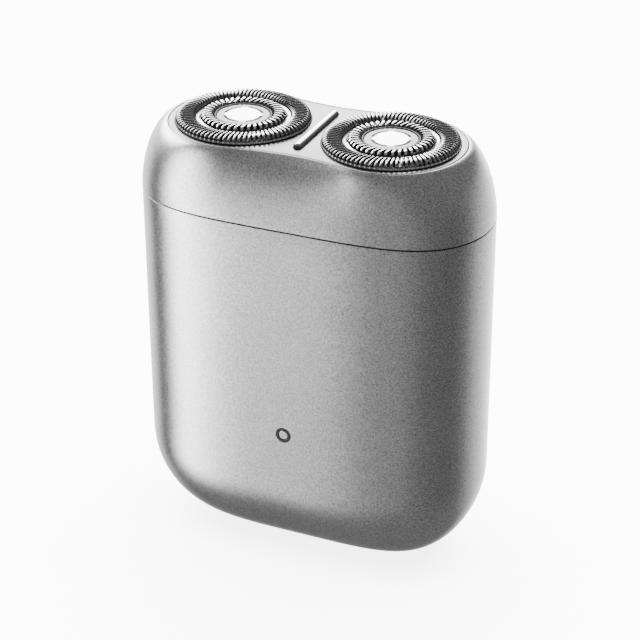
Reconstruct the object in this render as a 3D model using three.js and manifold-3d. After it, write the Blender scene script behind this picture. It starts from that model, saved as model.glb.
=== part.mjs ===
// Pocket electric shaver with two rotary heads, as an assembly of separate pieces.
// Millimetres, +Z up, front towards -Y. The origin is the middle of the flat strip it stands on.
import * as THREE from "three";
import { mergeVertices } from "three/addons/utils/BufferGeometryUtils.js";
import Module from "manifold-3d";

const wasm = await Module();
wasm.setup();

// ---- Driving dimensions -------------------------------------------------------------------

// Outer form
const WIDTH = 63;
const DEPTH = 29.9;
const PLATE_TOP = 78.35; // top face of the head plate above the base
const SPLIT_DROP = 12.3; // from the head plate down to the joint of head and body
const BASE_TRIM = 1.8; // how much of the round bottom is cut away to stand on
const BOTTOM_ROUND_X = 20.5; // reach of the bottom rounding seen from the front
const BOTTOM_ROUND_Y = 18; // and from the side
const BOTTOM_POWER = 2;
const PLAN_POWER_X = 4.23; // superellipse powers of the body's plan
const PLAN_POWER_Y = 2.08;
const SHOULDER = 12.1; // height over which the plan turns into the waisted top
const SHOULDER_POWER = 1.72;
const PLATE_MARGIN = 1.4; // from a head to the edge of the top outline
const WAIST_PINCH = 1.85; // how far the outline's waist is drawn in from its lobes
const WALL = 1.4;
const FLOOR = 1.8;

// Clearances
const FIT_GAP = 0.3; // between pieces that touch
const FINE_GAP = 0.12; // between the smallest pieces
const SPLIT_GAP = 0.24; // the visible line between head and body

// Drive
const HEAD_SPACING = 27;
const HEAD_BRIDGE = 3.9; // gap between the two heads
const GEAR_TEETH = 42;
const PINION_TEETH = 12;
const GEAR_THICKNESS = 2.5;
const ADDENDUM = 0.9; // in modules
const DEDENDUM = 1.25;
const BACKLASH = 0.09;
const PRESSURE_SLOPE = 0.364;
const HUB_RADIUS = 4.2;
const HUB_HEIGHT = 4.2;
const HUB_SOCKET = 3.0; // corner radius of the six-sided socket
const BOSS_RADIUS = 2.4;
const BOSS_DROP = 1.8;
const PIN_RADIUS = 1;
const PIN_HEAD_RADIUS = 2;
const SPINDLE_RADIUS = 2;
const SPINDLE_FOOT = 2.6; // corner radius of the foot that slides in the hub
const SPINDLE_TIP = 2.1; // corner radius of the driving tip
const TIP_GRIP = 2.7; // how far the tip enters the cutter's carrier
const SPRING_RADIUS = 1.6;
const SPRING_WIRE = 0.22;
const SPRING_LENGTH = 2.5;
const SPRING_TURNS = 3;
const HUB_FLOOR = 0.9; // between the gear's lower face and its socket
const PIN_HEAD_HEIGHT = 0.7;
const SHAFT_RADIUS = 1;
const SHAFT_INSERT = 8; // length of shaft inside the motor
const SHAFT_END = 0.3; // of shaft above the pinion
const PINION_OVERLAP = 0.45; // how much further than the gears the pinion reaches at each end
const BOSS_CLEARANCE = 0.5;
const MOTOR_RADIUS = 8.5;
const MOTOR_STANDOFF = 2.7; // from the chassis plate up to the motor's end cap
const MOTOR_CAP = 1.7;
const MOTOR_BOSS = 3;
const MOTOR_CLEARANCE = 1; // from the gear plate down to the motor
const MOTOR_RIB = 1.2; // thickness of the ribs that hold the motor
const MOTOR_RIB_LENGTH = 12;
const MOTOR_RIB_GRIP = 9; // how far up the motor they reach

// Head
const PLATE_THICKNESS = 1;
const SEAT_HEIGHT = 2.2; // collar under the plate that stops the foils' flanges
const FOIL_RISE = 1.3; // crown above the plate
const FOIL_THICKNESS = 0.5;
const FOIL_CLEARANCE = 0.35; // from the foil's skirt to the collar
const FLANGE_REACH = 0.65; // how far the flange reaches past the wall's inside at the plate
const FLANGE_THICKNESS = 0.7;
const FOIL_TRAVEL = 1;
const FOIL_GROOVE = 0.34; // place of the groove between the crowns, from the cap out to the skirt
const GROOVE_DEPTH = 0.75;
const CAP_RADIUS = 4.6;
const CAP_RISE = 0.85;
const CAP_THICKNESS = 1.45;
const BLADE_COUNT = 12;
const BLADE_TOP = 0.2; // tips of the blades above the plate
const BLADE_DROP = 0.9; // from the plate down to the ring that joins the blades
const BLADE_THICKNESS = 0.4;
const BLADE_WIDTH = 0.5;
const BLADE_BORE = 2.5;
const CARRIER_RADIUS = 5;
const CARRIER_HEIGHT = 4.4;
const CARRIER_NECK = 2.2;
const FRAME_THICKNESS = 1.2;
const FRAME_HOLE = 2.4; // radius of the openings that hair falls through
const FRAME_HOLE_PLACE = 7.2; // their distance from the head's axis
const BAR_WIDTH = 1.5;
const BAR_MARGIN = 2.7; // from the bar's ends to the outline's waist
const BAR_RISE = 0.75;
const BAR_GROOVE = 0.5;
const MAGNET_RADIUS = 2.2;
const MAGNET_THICKNESS = 1.4;
const MAGNET_OFFSET = 8.2;

// Body
const DECK_DROP = 1; // deck below the joint line
const DECK_THICKNESS = 1.8;
const DECK_FIT = 0.35; // between deck and shell
const SEAL_WIDTH = 1.6; // of the ring round each spindle
const SEAL_SEAT = 0.9; // depth of its seat in the deck
const SEAL_RISE = 0.4;
const SEAL_THICKNESS = 1;
const LIP_HEIGHT = 3.3;
const LIP_THICKNESS = 1.2;
const GEAR_PLATE_THICKNESS = 1.5;
const POST_RADIUS = 1.6;
const SCREW_RADIUS = 0.6;
const SCREW_LENGTH = 8;
const SCREW_HEAD = 0.9;
const SCREW_RECESS = 0.7;
const PLATE_FIT = 0.5; // from the inner plates to the wall
const BATTERY_RADIUS = 7;
const BATTERY_LENGTH = 50;
const TAB_THICKNESS = 0.4;
const TAB_WIDTH = 5;
const CHASSIS_THICKNESS = 1.2;
const BOARD_THICKNESS = 0.8;
const BOARD_WIDTH = 38;
const BOARD_FIT = 0.7; // from the motor to the board
const CHIP_SIZE = 6;
const SWITCH_SIZE = 4;
const BUTTON_RADIUS = 4;
const BUTTON_DROP = 12; // from the gear plate down to the button
const BUTTON_TRAVEL = 0.5;
const BUTTON_FLANGE = 0.9;
const BUTTON_FLANGE_THICKNESS = 0.6;
const RING_OUTER = 1.5;
const RING_INNER = 1.05;
const RING_DEPTH = 1.4;
const LED_SIZE = 1.6;
const LED_THICKNESS = 0.8;
const LED_BOARD_WIDTH = 8;
const LED_BOARD_HEIGHT = 3.8;
const INDICATOR_RISE = 2.3; // from the chassis plate up to the indicator
const USB_WIDTH = 8.94;
const USB_HEIGHT = 3.26;
const USB_LENGTH = 7.35;
const USB_RECESS = 0.4;
const USB_WALL = 0.3;
const USB_TONGUE_WIDTH = 6.6;
const USB_TONGUE_THICKNESS = 0.7;
const USB_BOARD_WIDTH = 16;
const USB_BOARD_DEPTH = 10;

// Fineness
const RING_POINTS = 40;
const ROUND = 28;
const SMALL_ROUND = 12;

// ---- Sizes worked out from them -----------------------------------------------------------

const half = HEAD_SPACING / 2;
const gearModule = HEAD_SPACING / (GEAR_TEETH + PINION_TEETH);
const gearPitch = (gearModule * GEAR_TEETH) / 2;
const foilRadius = (HEAD_SPACING - HEAD_BRIDGE) / 2;
const lobeRadius = foilRadius + PLATE_MARGIN;
const waistDepth = lobeRadius - WAIST_PINCH;
const flangeRadius = lobeRadius - WALL + FLANGE_REACH;
const split = PLATE_TOP - SPLIT_DROP;
const sides = [["left", -half], ["right", half]];
const ends = [["front", -1], ["rear", 1]];

const plateBottom = PLATE_TOP - PLATE_THICKNESS;
const seatTop = plateBottom - FIT_GAP;
const seatBottom = seatTop - SEAT_HEIGHT;
const flangeTop = seatBottom - FIT_GAP;
const foilBottom = flangeTop - FLANGE_THICKNESS;
const grooveRadius = THREE.MathUtils.lerp(CAP_RADIUS + FIT_GAP, foilRadius, FOIL_GROOVE);
const bladeRingTop = PLATE_TOP - BLADE_DROP;
const carrierTop = bladeRingTop - BLADE_THICKNESS - FIT_GAP;
const carrierBottom = carrierTop - CARRIER_HEIGHT;
const frameTop = carrierBottom - FOIL_TRAVEL - FIT_GAP;
const frameBottom = frameTop - FRAME_THICKNESS;

const deckTop = split - DECK_DROP;
const deckBottom = deckTop - DECK_THICKNESS;
const lipTop = deckTop + LIP_HEIGHT;
const hubTop = deckBottom - FIT_GAP - FINE_GAP;
const gearTop = hubTop - HUB_HEIGHT;
const gearBottom = gearTop - GEAR_THICKNESS;
const socketBottom = gearBottom + HUB_FLOOR;
const springBottom = socketBottom + FIT_GAP;
const springTop = springBottom + SPRING_LENGTH;
const spindleBottom = springTop + FIT_GAP;
const spindleTop = carrierBottom + TIP_GRIP;
const bossBottom = gearBottom - BOSS_DROP;
const gearPlateTop = bossBottom - BOSS_CLEARANCE;
const gearPlateBottom = gearPlateTop - GEAR_PLATE_THICKNESS;
const motorTop = gearPlateBottom - MOTOR_CLEARANCE;
const postX = half + gearPitch + ADDENDUM * gearModule + FIT_GAP + POST_RADIUS;

const usbTop = USB_RECESS + USB_LENGTH;
const usbBoardTop = usbTop + FIT_GAP + BOARD_THICKNESS;
const batteryHeight = usbBoardTop + FIT_GAP + BATTERY_RADIUS;
const chassisBottom = batteryHeight + BATTERY_RADIUS + FIT_GAP;
const chassisTop = chassisBottom + CHASSIS_THICKNESS;
const indicatorHeight = chassisTop + INDICATOR_RISE;
const motorBottom = chassisTop + MOTOR_STANDOFF + MOTOR_CAP + FIT_GAP;
const boardY = MOTOR_RADIUS + BOARD_FIT;
const boardBack = boardY + BOARD_THICKNESS;
const innerY = DEPTH / 2 - WALL;
const buttonHeight = gearPlateBottom - BUTTON_DROP;

// ---- Geometry helpers ---------------------------------------------------------------------

// Rises from 0 to 1 along a superellipse arc, flat at the start and steep at the end.
const roundOff = (t, power) => 1 - (1 - t ** power) ** (1 / power);

// Half depth of the waisted top outline at x: two lobes joined by hollow arcs.
function waistedDepth(x, inset) {
  const lobe = lobeRadius - inset;
  const waist = waistDepth - inset;
  const hollow = (half ** 2 + waist ** 2 - lobe ** 2) / (2 * (lobe - waist));
  const joint = (half * hollow) / (lobe + hollow);
  const across = Math.abs(x);
  if (across > joint) return Math.sqrt(Math.max(lobe ** 2 - (across - half) ** 2, 0));
  return waist + hollow - Math.sqrt(hollow ** 2 - across ** 2);
}

// One ring of points round the outer form at a height, moved in by an inset.
function formRing(z, inset = 0, topBlend = null) {
  const up = z + BASE_TRIM;
  const drop = (reach) =>
    up < reach ? (reach - inset) * roundOff((reach - up) / (reach - inset), BOTTOM_POWER) : 0;
  const halfWidth = WIDTH / 2 - inset - drop(BOTTOM_ROUND_X);
  const halfDepth = DEPTH / 2 - inset - drop(BOTTOM_ROUND_Y);
  const rise = (z - PLATE_TOP + SHOULDER) / (SHOULDER - inset);
  const blend = topBlend ?? (rise > 0 ? roundOff(Math.min(rise, 1), SHOULDER_POWER) : 0);
  const lobeEnd = half + lobeRadius - inset;
  return Array.from({ length: RING_POINTS }, (_, i) => {
    const angle = (2 * Math.PI * i) / RING_POINTS;
    const along = Math.abs(Math.cos(angle)) ** 0.8;
    const x = Math.sign(Math.cos(angle)) * along * THREE.MathUtils.lerp(halfWidth, lobeEnd, blend);
    const bodyY = halfDepth * Math.max(1 - along ** PLAN_POWER_X, 0) ** (1 / PLAN_POWER_Y);
    const lobeY = waistedDepth(along * lobeEnd, inset);
    return [x, Math.sign(Math.sin(angle)) * THREE.MathUtils.lerp(bodyY, lobeY, blend), z];
  });
}

// The waisted outline of the top at a height.
const topRing = (z, inset) => formRing(z, inset, 1);

// Skin over a list of rings. A tube joins the last ring to the first, otherwise both are capped.
function skin(rings, isTube) {
  const count = rings[0].length;
  const positions = rings.flat(2);
  const faces = [];
  const joins = isTube ? rings.length : rings.length - 1;
  for (let r = 0; r < joins; r++) {
    const low = r * count;
    const high = ((r + 1) % rings.length) * count;
    for (let i = 0; i < count; i++) {
      const j = (i + 1) % count;
      faces.push(low + i, low + j, high + j, low + i, high + j, high + i);
    }
  }
  if (!isTube) {
    [[0, 1], [rings.length - 1, 0]].forEach(([r, isFlipped]) => {
      const centre = positions.length / 3;
      positions.push(0, 0, rings[r][0][2]);
      for (let i = 0; i < count; i++) {
        const edge = [r * count + i, r * count + ((i + 1) % count)];
        faces.push(...(isFlipped ? edge.reverse() : edge), centre);
      }
    });
  }
  const geometry = new THREE.BufferGeometry();
  geometry.setAttribute("position", new THREE.Float32BufferAttribute(positions, 3));
  geometry.setIndex(faces);
  return geometry;
}

// Shared vertices merged, empty faces dropped and the faces turned outwards.
function solid(source) {
  const bare = source.clone();
  bare.deleteAttribute("normal");
  bare.deleteAttribute("uv");
  const merged = mergeVertices(bare, 1e-4);
  const spots = merged.attributes.position.array;
  const index = merged.index.array;
  const faces = [];
  let volume = 0;
  const [a, b, c] = [new THREE.Vector3(), new THREE.Vector3(), new THREE.Vector3()];
  for (let i = 0; i < index.length; i += 3) {
    const [p, q, r] = index.subarray(i, i + 3);
    if (p === q || q === r || r === p) continue;
    faces.push([p, q, r]);
    a.fromArray(spots, 3 * p);
    b.fromArray(spots, 3 * q);
    c.fromArray(spots, 3 * r);
    volume += a.dot(b.cross(c));
  }
  const turned = volume < 0 ? faces.map(([p, q, r]) => [p, r, q]) : faces;
  return new wasm.Manifold(
    new wasm.Mesh({
      numProp: 3,
      vertProperties: new Float32Array(spots),
      triVerts: new Uint32Array(turned.flat()),
    }),
  );
}

// A cylinder or prism along +Z from one height to another.
function round(radius, from, to, x = 0, y = 0, facets = SMALL_ROUND) {
  const geometry = new THREE.CylinderGeometry(radius, radius, to - from, facets);
  geometry.rotateX(Math.PI / 2);
  return solid(geometry.translate(x, y, (from + to) / 2));
}

// A cylinder along Y, for what sits in the front and rear walls.
function roundY(radius, from, to, x, z, facets = SMALL_ROUND) {
  const geometry = new THREE.CylinderGeometry(radius, radius, to - from, facets);
  return solid(geometry.translate(x, (from + to) / 2, z));
}

function box(x, y, z) {
  const geometry = new THREE.BoxGeometry(x[1] - x[0], y[1] - y[0], z[1] - z[0]);
  return solid(geometry.translate((x[0] + x[1]) / 2, (y[0] + y[1]) / 2, (z[0] + z[1]) / 2));
}

// The two ends of a span of a given size round its middle.
const around = (middle, size) => [middle - size / 2, middle + size / 2];

// A closed profile of [radius, height] points turned round a vertical axis.
function turned(profile, x = 0, facets = ROUND) {
  const points = [...profile, profile[0]].map(([r, z]) => new THREE.Vector2(r, z));
  const geometry = new THREE.LatheGeometry(points, facets).rotateX(Math.PI / 2);
  return solid(geometry.translate(x, 0, 0));
}

function extruded(shape, from, to, x = 0) {
  const settings = { depth: to - from, bevelEnabled: false, curveSegments: SMALL_ROUND / 2 };
  return solid(new THREE.ExtrudeGeometry(shape, settings).translate(x, 0, from));
}

// A rectangle with fully round ends, centred on the origin.
function slotShape(width, height) {
  const shape = new THREE.Shape();
  const reach = (width - height) / 2;
  shape.absarc(reach, 0, height / 2, -Math.PI / 2, Math.PI / 2, false);
  shape.absarc(-reach, 0, height / 2, Math.PI / 2, (3 * Math.PI) / 2, false);
  return shape;
}

// Outline of a spur gear with straight-flanked teeth; phase 0 puts a tooth on +X.
function gearShape(teeth, phase) {
  const pitch = (gearModule * teeth) / 2;
  const thickness = (Math.PI * gearModule) / 4 - BACKLASH;
  const tip = pitch + ADDENDUM * gearModule;
  const root = pitch - DEDENDUM * gearModule;
  const tipAngle = (thickness - PRESSURE_SLOPE * (tip - pitch)) / tip;
  const rootAngle = (thickness + PRESSURE_SLOPE * (pitch - root)) / root;
  const corners = [[root, -rootAngle], [tip, -tipAngle], [tip, tipAngle], [root, rootAngle]];
  const points = Array.from({ length: teeth }, (_, i) =>
    corners.map(([radius, turn]) => {
      const angle = (2 * Math.PI * (i + phase)) / teeth + turn;
      return new THREE.Vector2(radius * Math.cos(angle), radius * Math.sin(angle));
    }),
  );
  return new THREE.Shape(points.flat());
}

const joined = (...solids) => solids.reduce((sum, piece) => sum.add(piece));
const cut = (stock, ...tools) => tools.reduce((rest, tool) => rest.subtract(tool), stock);

// ---- Materials ----------------------------------------------------------------------------

const finish = (color, roughness, metalness) => () =>
  new THREE.MeshStandardMaterial({ color, roughness, metalness });
const silverPaint = finish(0xb9babb, 0.45, 0.7);
const satinPlate = finish(0xd2d3d4, 0.35, 0.8);
const cutterSteel = finish(0xc9cacb, 0.2, 1);
const chrome = finish(0xe4e5e6, 0.08, 1);
const blackPlastic = finish(0x141415, 0.5, 0);
const greyPlastic = finish(0x55575a, 0.6, 0);
const whiteNylon = finish(0xe6e4dc, 0.5, 0);
const darkRubber = finish(0x1c1c1d, 0.85, 0);
const boardGreen = finish(0x1d4a33, 0.6, 0);
const plainSteel = finish(0x9a9b9d, 0.35, 1);
const batteryWrap = finish(0x2f6f8f, 0.4, 0);
const brass = finish(0xb99a52, 0.3, 1);

const shaver = new THREE.Group();

function add(name, piece, makeMaterial) {
  const { vertProperties, triVerts } = piece.getMesh();
  const geometry = new THREE.BufferGeometry();
  geometry.setAttribute("position", new THREE.BufferAttribute(vertProperties, 3));
  geometry.setIndex(new THREE.BufferAttribute(triVerts, 1));
  geometry.computeVertexNormals();
  const mesh = new THREE.Mesh(geometry, makeMaterial());
  mesh.name = name;
  shaver.add(mesh);
}

// ---- Body ---------------------------------------------------------------------------------

// Heights from a start up to the end of the bottom rounding, closest together at the start.
function bottomLevels(start, steps) {
  const span = BOTTOM_ROUND_X - BASE_TRIM - start;
  const quarter = Math.PI / 2 / steps;
  return Array.from({ length: steps + 1 }, (_, i) => start + span * (1 - Math.cos(i * quarter)));
}

function addBodyShell() {
  const rim = split - SPLIT_GAP / 2;
  const outer = [...bottomLevels(0, 7), rim].map((z) => formRing(z));
  const inner = [...bottomLevels(FLOOR, 5), rim].reverse().map((z) => formRing(z, WALL));
  const usbHole = slotShape(USB_WIDTH + 2 * FIT_GAP, USB_HEIGHT + 2 * FIT_GAP);
  const shell = cut(
    skinSolid([...outer, ...inner]),
    extruded(usbHole, -1, FLOOR + 1),
    roundY(BUTTON_RADIUS + FIT_GAP, innerY - 1, DEPTH / 2 + 1, 0, buttonHeight, ROUND),
    roundY(RING_OUTER + FINE_GAP, -DEPTH / 2 - 1, 1 - innerY, 0, indicatorHeight),
  );
  add("body_shell", shell, silverPaint);
}

const skinSolid = (rings, isTube = false) => solid(skin(rings, isTube));

function addDeck() {
  const outset = WALL + DECK_FIT;
  const inset = outset + LIP_THICKNESS;
  const lipLevels = [deckTop, (deckTop + lipTop) / 2, lipTop];
  const deck = skinSolid([
    formRing(deckBottom, outset),
    ...lipLevels.map((z) => formRing(z, outset)),
    ...lipLevels.reverse().map((z) => formRing(z, inset)),
  ]);
  const sealRadius = SPINDLE_RADIUS + SEAL_WIDTH;
  const openings = sides.flatMap(([, x]) => [
    round(SPINDLE_RADIUS + FIT_GAP, deckBottom - 1, deckTop + 1, x, 0),
    round(sealRadius + FIT_GAP, deckTop - SEAL_SEAT, deckTop + 1, x, 0),
    round(SCREW_RADIUS + FIT_GAP, deckBottom - 1, deckTop + 1, Math.sign(x) * postX, 0),
  ]);
  add("deck", cut(deck, ...openings), greyPlastic);
  for (const [side, x] of sides) {
    const high = deckTop + SEAL_RISE;
    const low = high - SEAL_THICKNESS;
    const seal = cut(
      round(sealRadius, low, high, x, 0),
      round(SPINDLE_RADIUS + FINE_GAP, low - 1, high + 1, x, 0),
    );
    add(`spindle_seal_${side}`, seal, darkRubber);
    addScrew(`deck_screw_${side}`, Math.sign(x) * postX, 0, deckTop + FIT_GAP);
  }
  for (const [end, sign] of ends) {
    const low = deckTop + FIT_GAP;
    const magnet = round(MAGNET_RADIUS, low, low + MAGNET_THICKNESS, 0, sign * MAGNET_OFFSET);
    add(`body_magnet_${end}`, magnet, plainSteel);
  }
}

function addScrew(name, x, y, seat) {
  const head = round(POST_RADIUS, seat, seat + SCREW_HEAD, x, y);
  const shank = round(SCREW_RADIUS, seat - SCREW_LENGTH, seat + 0.2, x, y);
  const recess = round(SCREW_RECESS, seat + SCREW_HEAD / 2, seat + 2, x, y, 6);
  add(name, cut(joined(head, shank), recess), plainSteel);
}

function addGearPlate() {
  const inset = WALL + PLATE_FIT;
  const plate = skinSolid([formRing(gearPlateBottom, inset), formRing(gearPlateTop, inset)]);
  const reach = [gearPlateBottom - 1, gearPlateTop + 1];
  const openings = sides.flatMap(([, x]) => [
    round(PIN_RADIUS + FIT_GAP, ...reach, x, 0),
    round(POST_RADIUS + FIT_GAP, ...reach, Math.sign(x) * postX, 0),
  ]);
  add("gear_plate", cut(plate, round(MOTOR_BOSS + FIT_GAP, ...reach, 0, 0), ...openings), plainSteel);
  for (const [side, x] of sides) {
    const low = gearPlateBottom - FIT_GAP;
    const pin = joined(
      round(PIN_HEAD_RADIUS, low - PIN_HEAD_HEIGHT, low, x, 0),
      round(PIN_RADIUS, low - 0.2, socketBottom - FIT_GAP, x, 0),
    );
    add(`gear_pin_${side}`, pin, plainSteel);
  }
}

function addGears() {
  const reach = [bossBottom - 1, hubTop + 1];
  for (const [side, x] of sides) {
    const wheel = extruded(gearShape(GEAR_TEETH, 0.5), gearBottom, gearTop, x);
    const gear = cut(
      joined(wheel, round(HUB_RADIUS, gearTop - 0.2, hubTop, x, 0, 24),
        round(BOSS_RADIUS, bossBottom, gearBottom + 0.2, x, 0)),
      round(HUB_SOCKET, socketBottom, reach[1], x, 0, 6),
      round(PIN_RADIUS + FIT_GAP, reach[0], socketBottom + 0.2, x, 0),
    );
    add(`drive_gear_${side}`, gear, whiteNylon);
    const spindle = joined(
      round(SPINDLE_FOOT, spindleBottom, hubTop - FIT_GAP, x, 0, 6),
      round(SPINDLE_RADIUS, hubTop - 0.5, carrierBottom - 1.2, x, 0),
      round(SPINDLE_TIP, carrierBottom - 1.4, spindleTop, x, 0, 6),
    );
    add(`spindle_${side}`, spindle, blackPlastic);
    add(`spindle_spring_${side}`, coil(x), plainSteel);
  }
}

// A round wire wound as a compression spring between the gear and the spindle's foot.
function coil(x) {
  const steps = SPRING_TURNS * 8;
  const rise = SPRING_LENGTH - 2 * SPRING_WIRE;
  const points = Array.from({ length: steps + 1 }, (_, i) => {
    const angle = (2 * Math.PI * SPRING_TURNS * i) / steps;
    const height = springBottom + SPRING_WIRE + (rise * i) / steps;
    return new THREE.Vector3(x + SPRING_RADIUS * Math.cos(angle), SPRING_RADIUS * Math.sin(angle), height);
  });
  const wire = new THREE.Shape().absarc(0, 0, SPRING_WIRE, 0, 2 * Math.PI, false);
  const path = new THREE.CatmullRomCurve3(points);
  return solid(new THREE.ExtrudeGeometry(wire, { steps, extrudePath: path, curveSegments: 3 }));
}

function addMotor() {
  const low = gearBottom - PINION_OVERLAP;
  const high = gearTop + PINION_OVERLAP;
  const shaftBottom = motorTop - SHAFT_INSERT;
  const bore = SHAFT_RADIUS + FIT_GAP;
  const pinion = cut(extruded(gearShape(PINION_TEETH, 0), low, high), round(bore, low - 1, high + 1));
  add("motor_pinion", pinion, brass);
  add("motor_shaft", round(SHAFT_RADIUS, shaftBottom, high + SHAFT_END), plainSteel);
  const can = cut(
    joined(round(MOTOR_RADIUS, motorBottom, motorTop, 0, 0, ROUND),
      round(MOTOR_BOSS, motorTop - 0.2, gearPlateTop - FIT_GAP)),
    round(bore, shaftBottom - FIT_GAP, gearPlateTop + 1),
  );
  add("motor_can", can, plainSteel);
  const capTop = motorBottom - FIT_GAP;
  const cap = round(MOTOR_RADIUS - FIT_GAP, capTop - MOTOR_CAP, capTop, 0, 0, ROUND);
  add("motor_end_cap", cap, blackPlastic);
}

function addChassis() {
  const inset = WALL + PLATE_FIT;
  const plate = skinSolid([formRing(chassisBottom, inset), formRing(chassisTop, inset)]);
  const postTop = deckBottom - FIT_GAP;
  const ribFoot = chassisTop - 0.2;
  const ribX = [MOTOR_RADIUS + 2 * FIT_GAP, MOTOR_RADIUS + 2 * FIT_GAP + MOTOR_RIB];
  const ribY = around(0, MOTOR_RIB_LENGTH);
  const pieces = sides.flatMap(([, x]) => {
    const sign = Math.sign(x);
    const rib = ribX.map((edge) => sign * edge).sort((a, b) => a - b);
    return [
      round(POST_RADIUS, ribFoot, postTop, sign * postX, 0),
      box(rib, ribY, [ribFoot, motorBottom + MOTOR_RIB_GRIP]),
    ];
  });
  const bores = sides.map(([, x]) =>
    round(SCREW_RADIUS + FIT_GAP, postTop - SCREW_LENGTH, postTop + 1, Math.sign(x) * postX, 0));
  add("chassis", cut(joined(plate, ...pieces), ...bores), blackPlastic);
}

function addBattery() {
  const cell = new THREE.CylinderGeometry(BATTERY_RADIUS, BATTERY_RADIUS, BATTERY_LENGTH, ROUND);
  cell.rotateZ(Math.PI / 2).translate(0, 0, batteryHeight);
  add("battery", solid(cell), batteryWrap);
  for (const [side, x] of sides) {
    const from = BATTERY_LENGTH / 2 + FIT_GAP;
    const span = [from, from + TAB_THICKNESS].map((edge) => Math.sign(x) * edge).sort((a, b) => a - b);
    const tab = box(span, around(0, TAB_WIDTH), [batteryHeight - 3, batteryHeight + 4]);
    add(`battery_tab_${side}`, tab, plainSteel);
  }
}

function addBoard() {
  const z = [chassisTop + 2.4, gearPlateBottom - 1.2];
  const board = box(around(0, BOARD_WIDTH), [boardY, boardBack], z);
  add("main_board", board, boardGreen);
  const front = boardBack + FIT_GAP;
  const chipX = -BOARD_WIDTH / 4;
  const chipZ = z[0] + CHIP_SIZE;
  const chip = box(around(chipX, CHIP_SIZE), [front, front + 1], around(chipZ, CHIP_SIZE));
  add("control_chip", chip, blackPlastic);
  const flangeBack = innerY - 2 * FINE_GAP - FIT_GAP;
  const flangeFront = flangeBack - BUTTON_FLANGE_THICKNESS;
  const switchTop = flangeFront - BUTTON_TRAVEL - FINE_GAP;
  const tact = box(around(0, SWITCH_SIZE), [front, switchTop], around(buttonHeight, SWITCH_SIZE));
  add("tact_switch", tact, greyPlastic);
  const button = joined(
    roundY(BUTTON_RADIUS, flangeBack - 0.2, DEPTH / 2, 0, buttonHeight, ROUND),
    roundY(BUTTON_RADIUS + BUTTON_FLANGE, flangeFront, flangeBack, 0, buttonHeight, ROUND),
  );
  add("power_button", button, silverPaint);
  const seal = cut(
    roundY(BUTTON_RADIUS + BUTTON_FLANGE, flangeBack + FINE_GAP, innerY - FINE_GAP, 0, buttonHeight, ROUND),
    roundY(BUTTON_RADIUS + FIT_GAP, innerY - 3, innerY + 1, 0, buttonHeight, ROUND),
  );
  add("button_seal", seal, darkRubber);
}

function addIndicator() {
  const face = -DEPTH / 2;
  const z = indicatorHeight;
  const ring = cut(
    roundY(RING_OUTER, face, face + RING_DEPTH, 0, z),
    roundY(RING_INNER, face - 1, face + RING_DEPTH + 1, 0, z),
  );
  add("indicator_ring", ring, blackPlastic);
  const core = roundY(RING_INNER - FINE_GAP, face, face + RING_DEPTH, 0, z);
  add("indicator_core", core, silverPaint);
  const ledY = face + RING_DEPTH + FIT_GAP;
  const ledBack = ledY + LED_THICKNESS;
  add("led", box(around(0, LED_SIZE), [ledY, ledBack], around(z, LED_SIZE)), whiteNylon);
  const boardSpan = [ledBack + FIT_GAP, ledBack + FIT_GAP + BOARD_THICKNESS];
  const board = box(around(0, LED_BOARD_WIDTH), boardSpan, around(z, LED_BOARD_HEIGHT));
  add("led_board", board, boardGreen);
}

function addUsb() {
  const hollow = slotShape(USB_WIDTH - 2 * USB_WALL, USB_HEIGHT - 2 * USB_WALL);
  const port = cut(
    extruded(slotShape(USB_WIDTH, USB_HEIGHT), USB_RECESS, usbTop),
    extruded(hollow, USB_RECESS - 1, usbTop - 0.6),
  );
  add("usb_port", port, plainSteel);
  const tongueSpan = [USB_RECESS + 0.8, usbTop - 0.9];
  const tongue = box(around(0, USB_TONGUE_WIDTH), around(0, USB_TONGUE_THICKNESS), tongueSpan);
  add("usb_tongue", tongue, blackPlastic);
  const boardSpan = [usbBoardTop - BOARD_THICKNESS, usbBoardTop];
  const board = box(around(0, USB_BOARD_WIDTH), around(0, USB_BOARD_DEPTH), boardSpan);
  add("usb_board", board, boardGreen);
}

// ---- Head ---------------------------------------------------------------------------------

function addHeadShell() {
  const bottom = split + SPLIT_GAP / 2;
  const steps = 7;
  const shoulderLevels = Array.from({ length: steps + 1 }, (_, i) =>
    PLATE_TOP - SHOULDER * (1 - Math.sin((i * Math.PI) / 2 / steps)));
  const outer = [bottom, ...shoulderLevels].map((z) => formRing(z));
  const seatInset = lobeRadius - foilRadius - FOIL_CLEARANCE;
  const innerSpan = seatBottom - bottom;
  const inner = [0, 0.35, 0.65, 0.85, 1].map((t) => formRing(seatBottom - t * innerSpan, WALL));
  const rings = [...outer, topRing(seatTop, 0), topRing(seatTop, seatInset),
    topRing(seatBottom, seatInset), ...inner];
  add("head_shell", skinSolid(rings, true), silverPaint);
}

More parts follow.
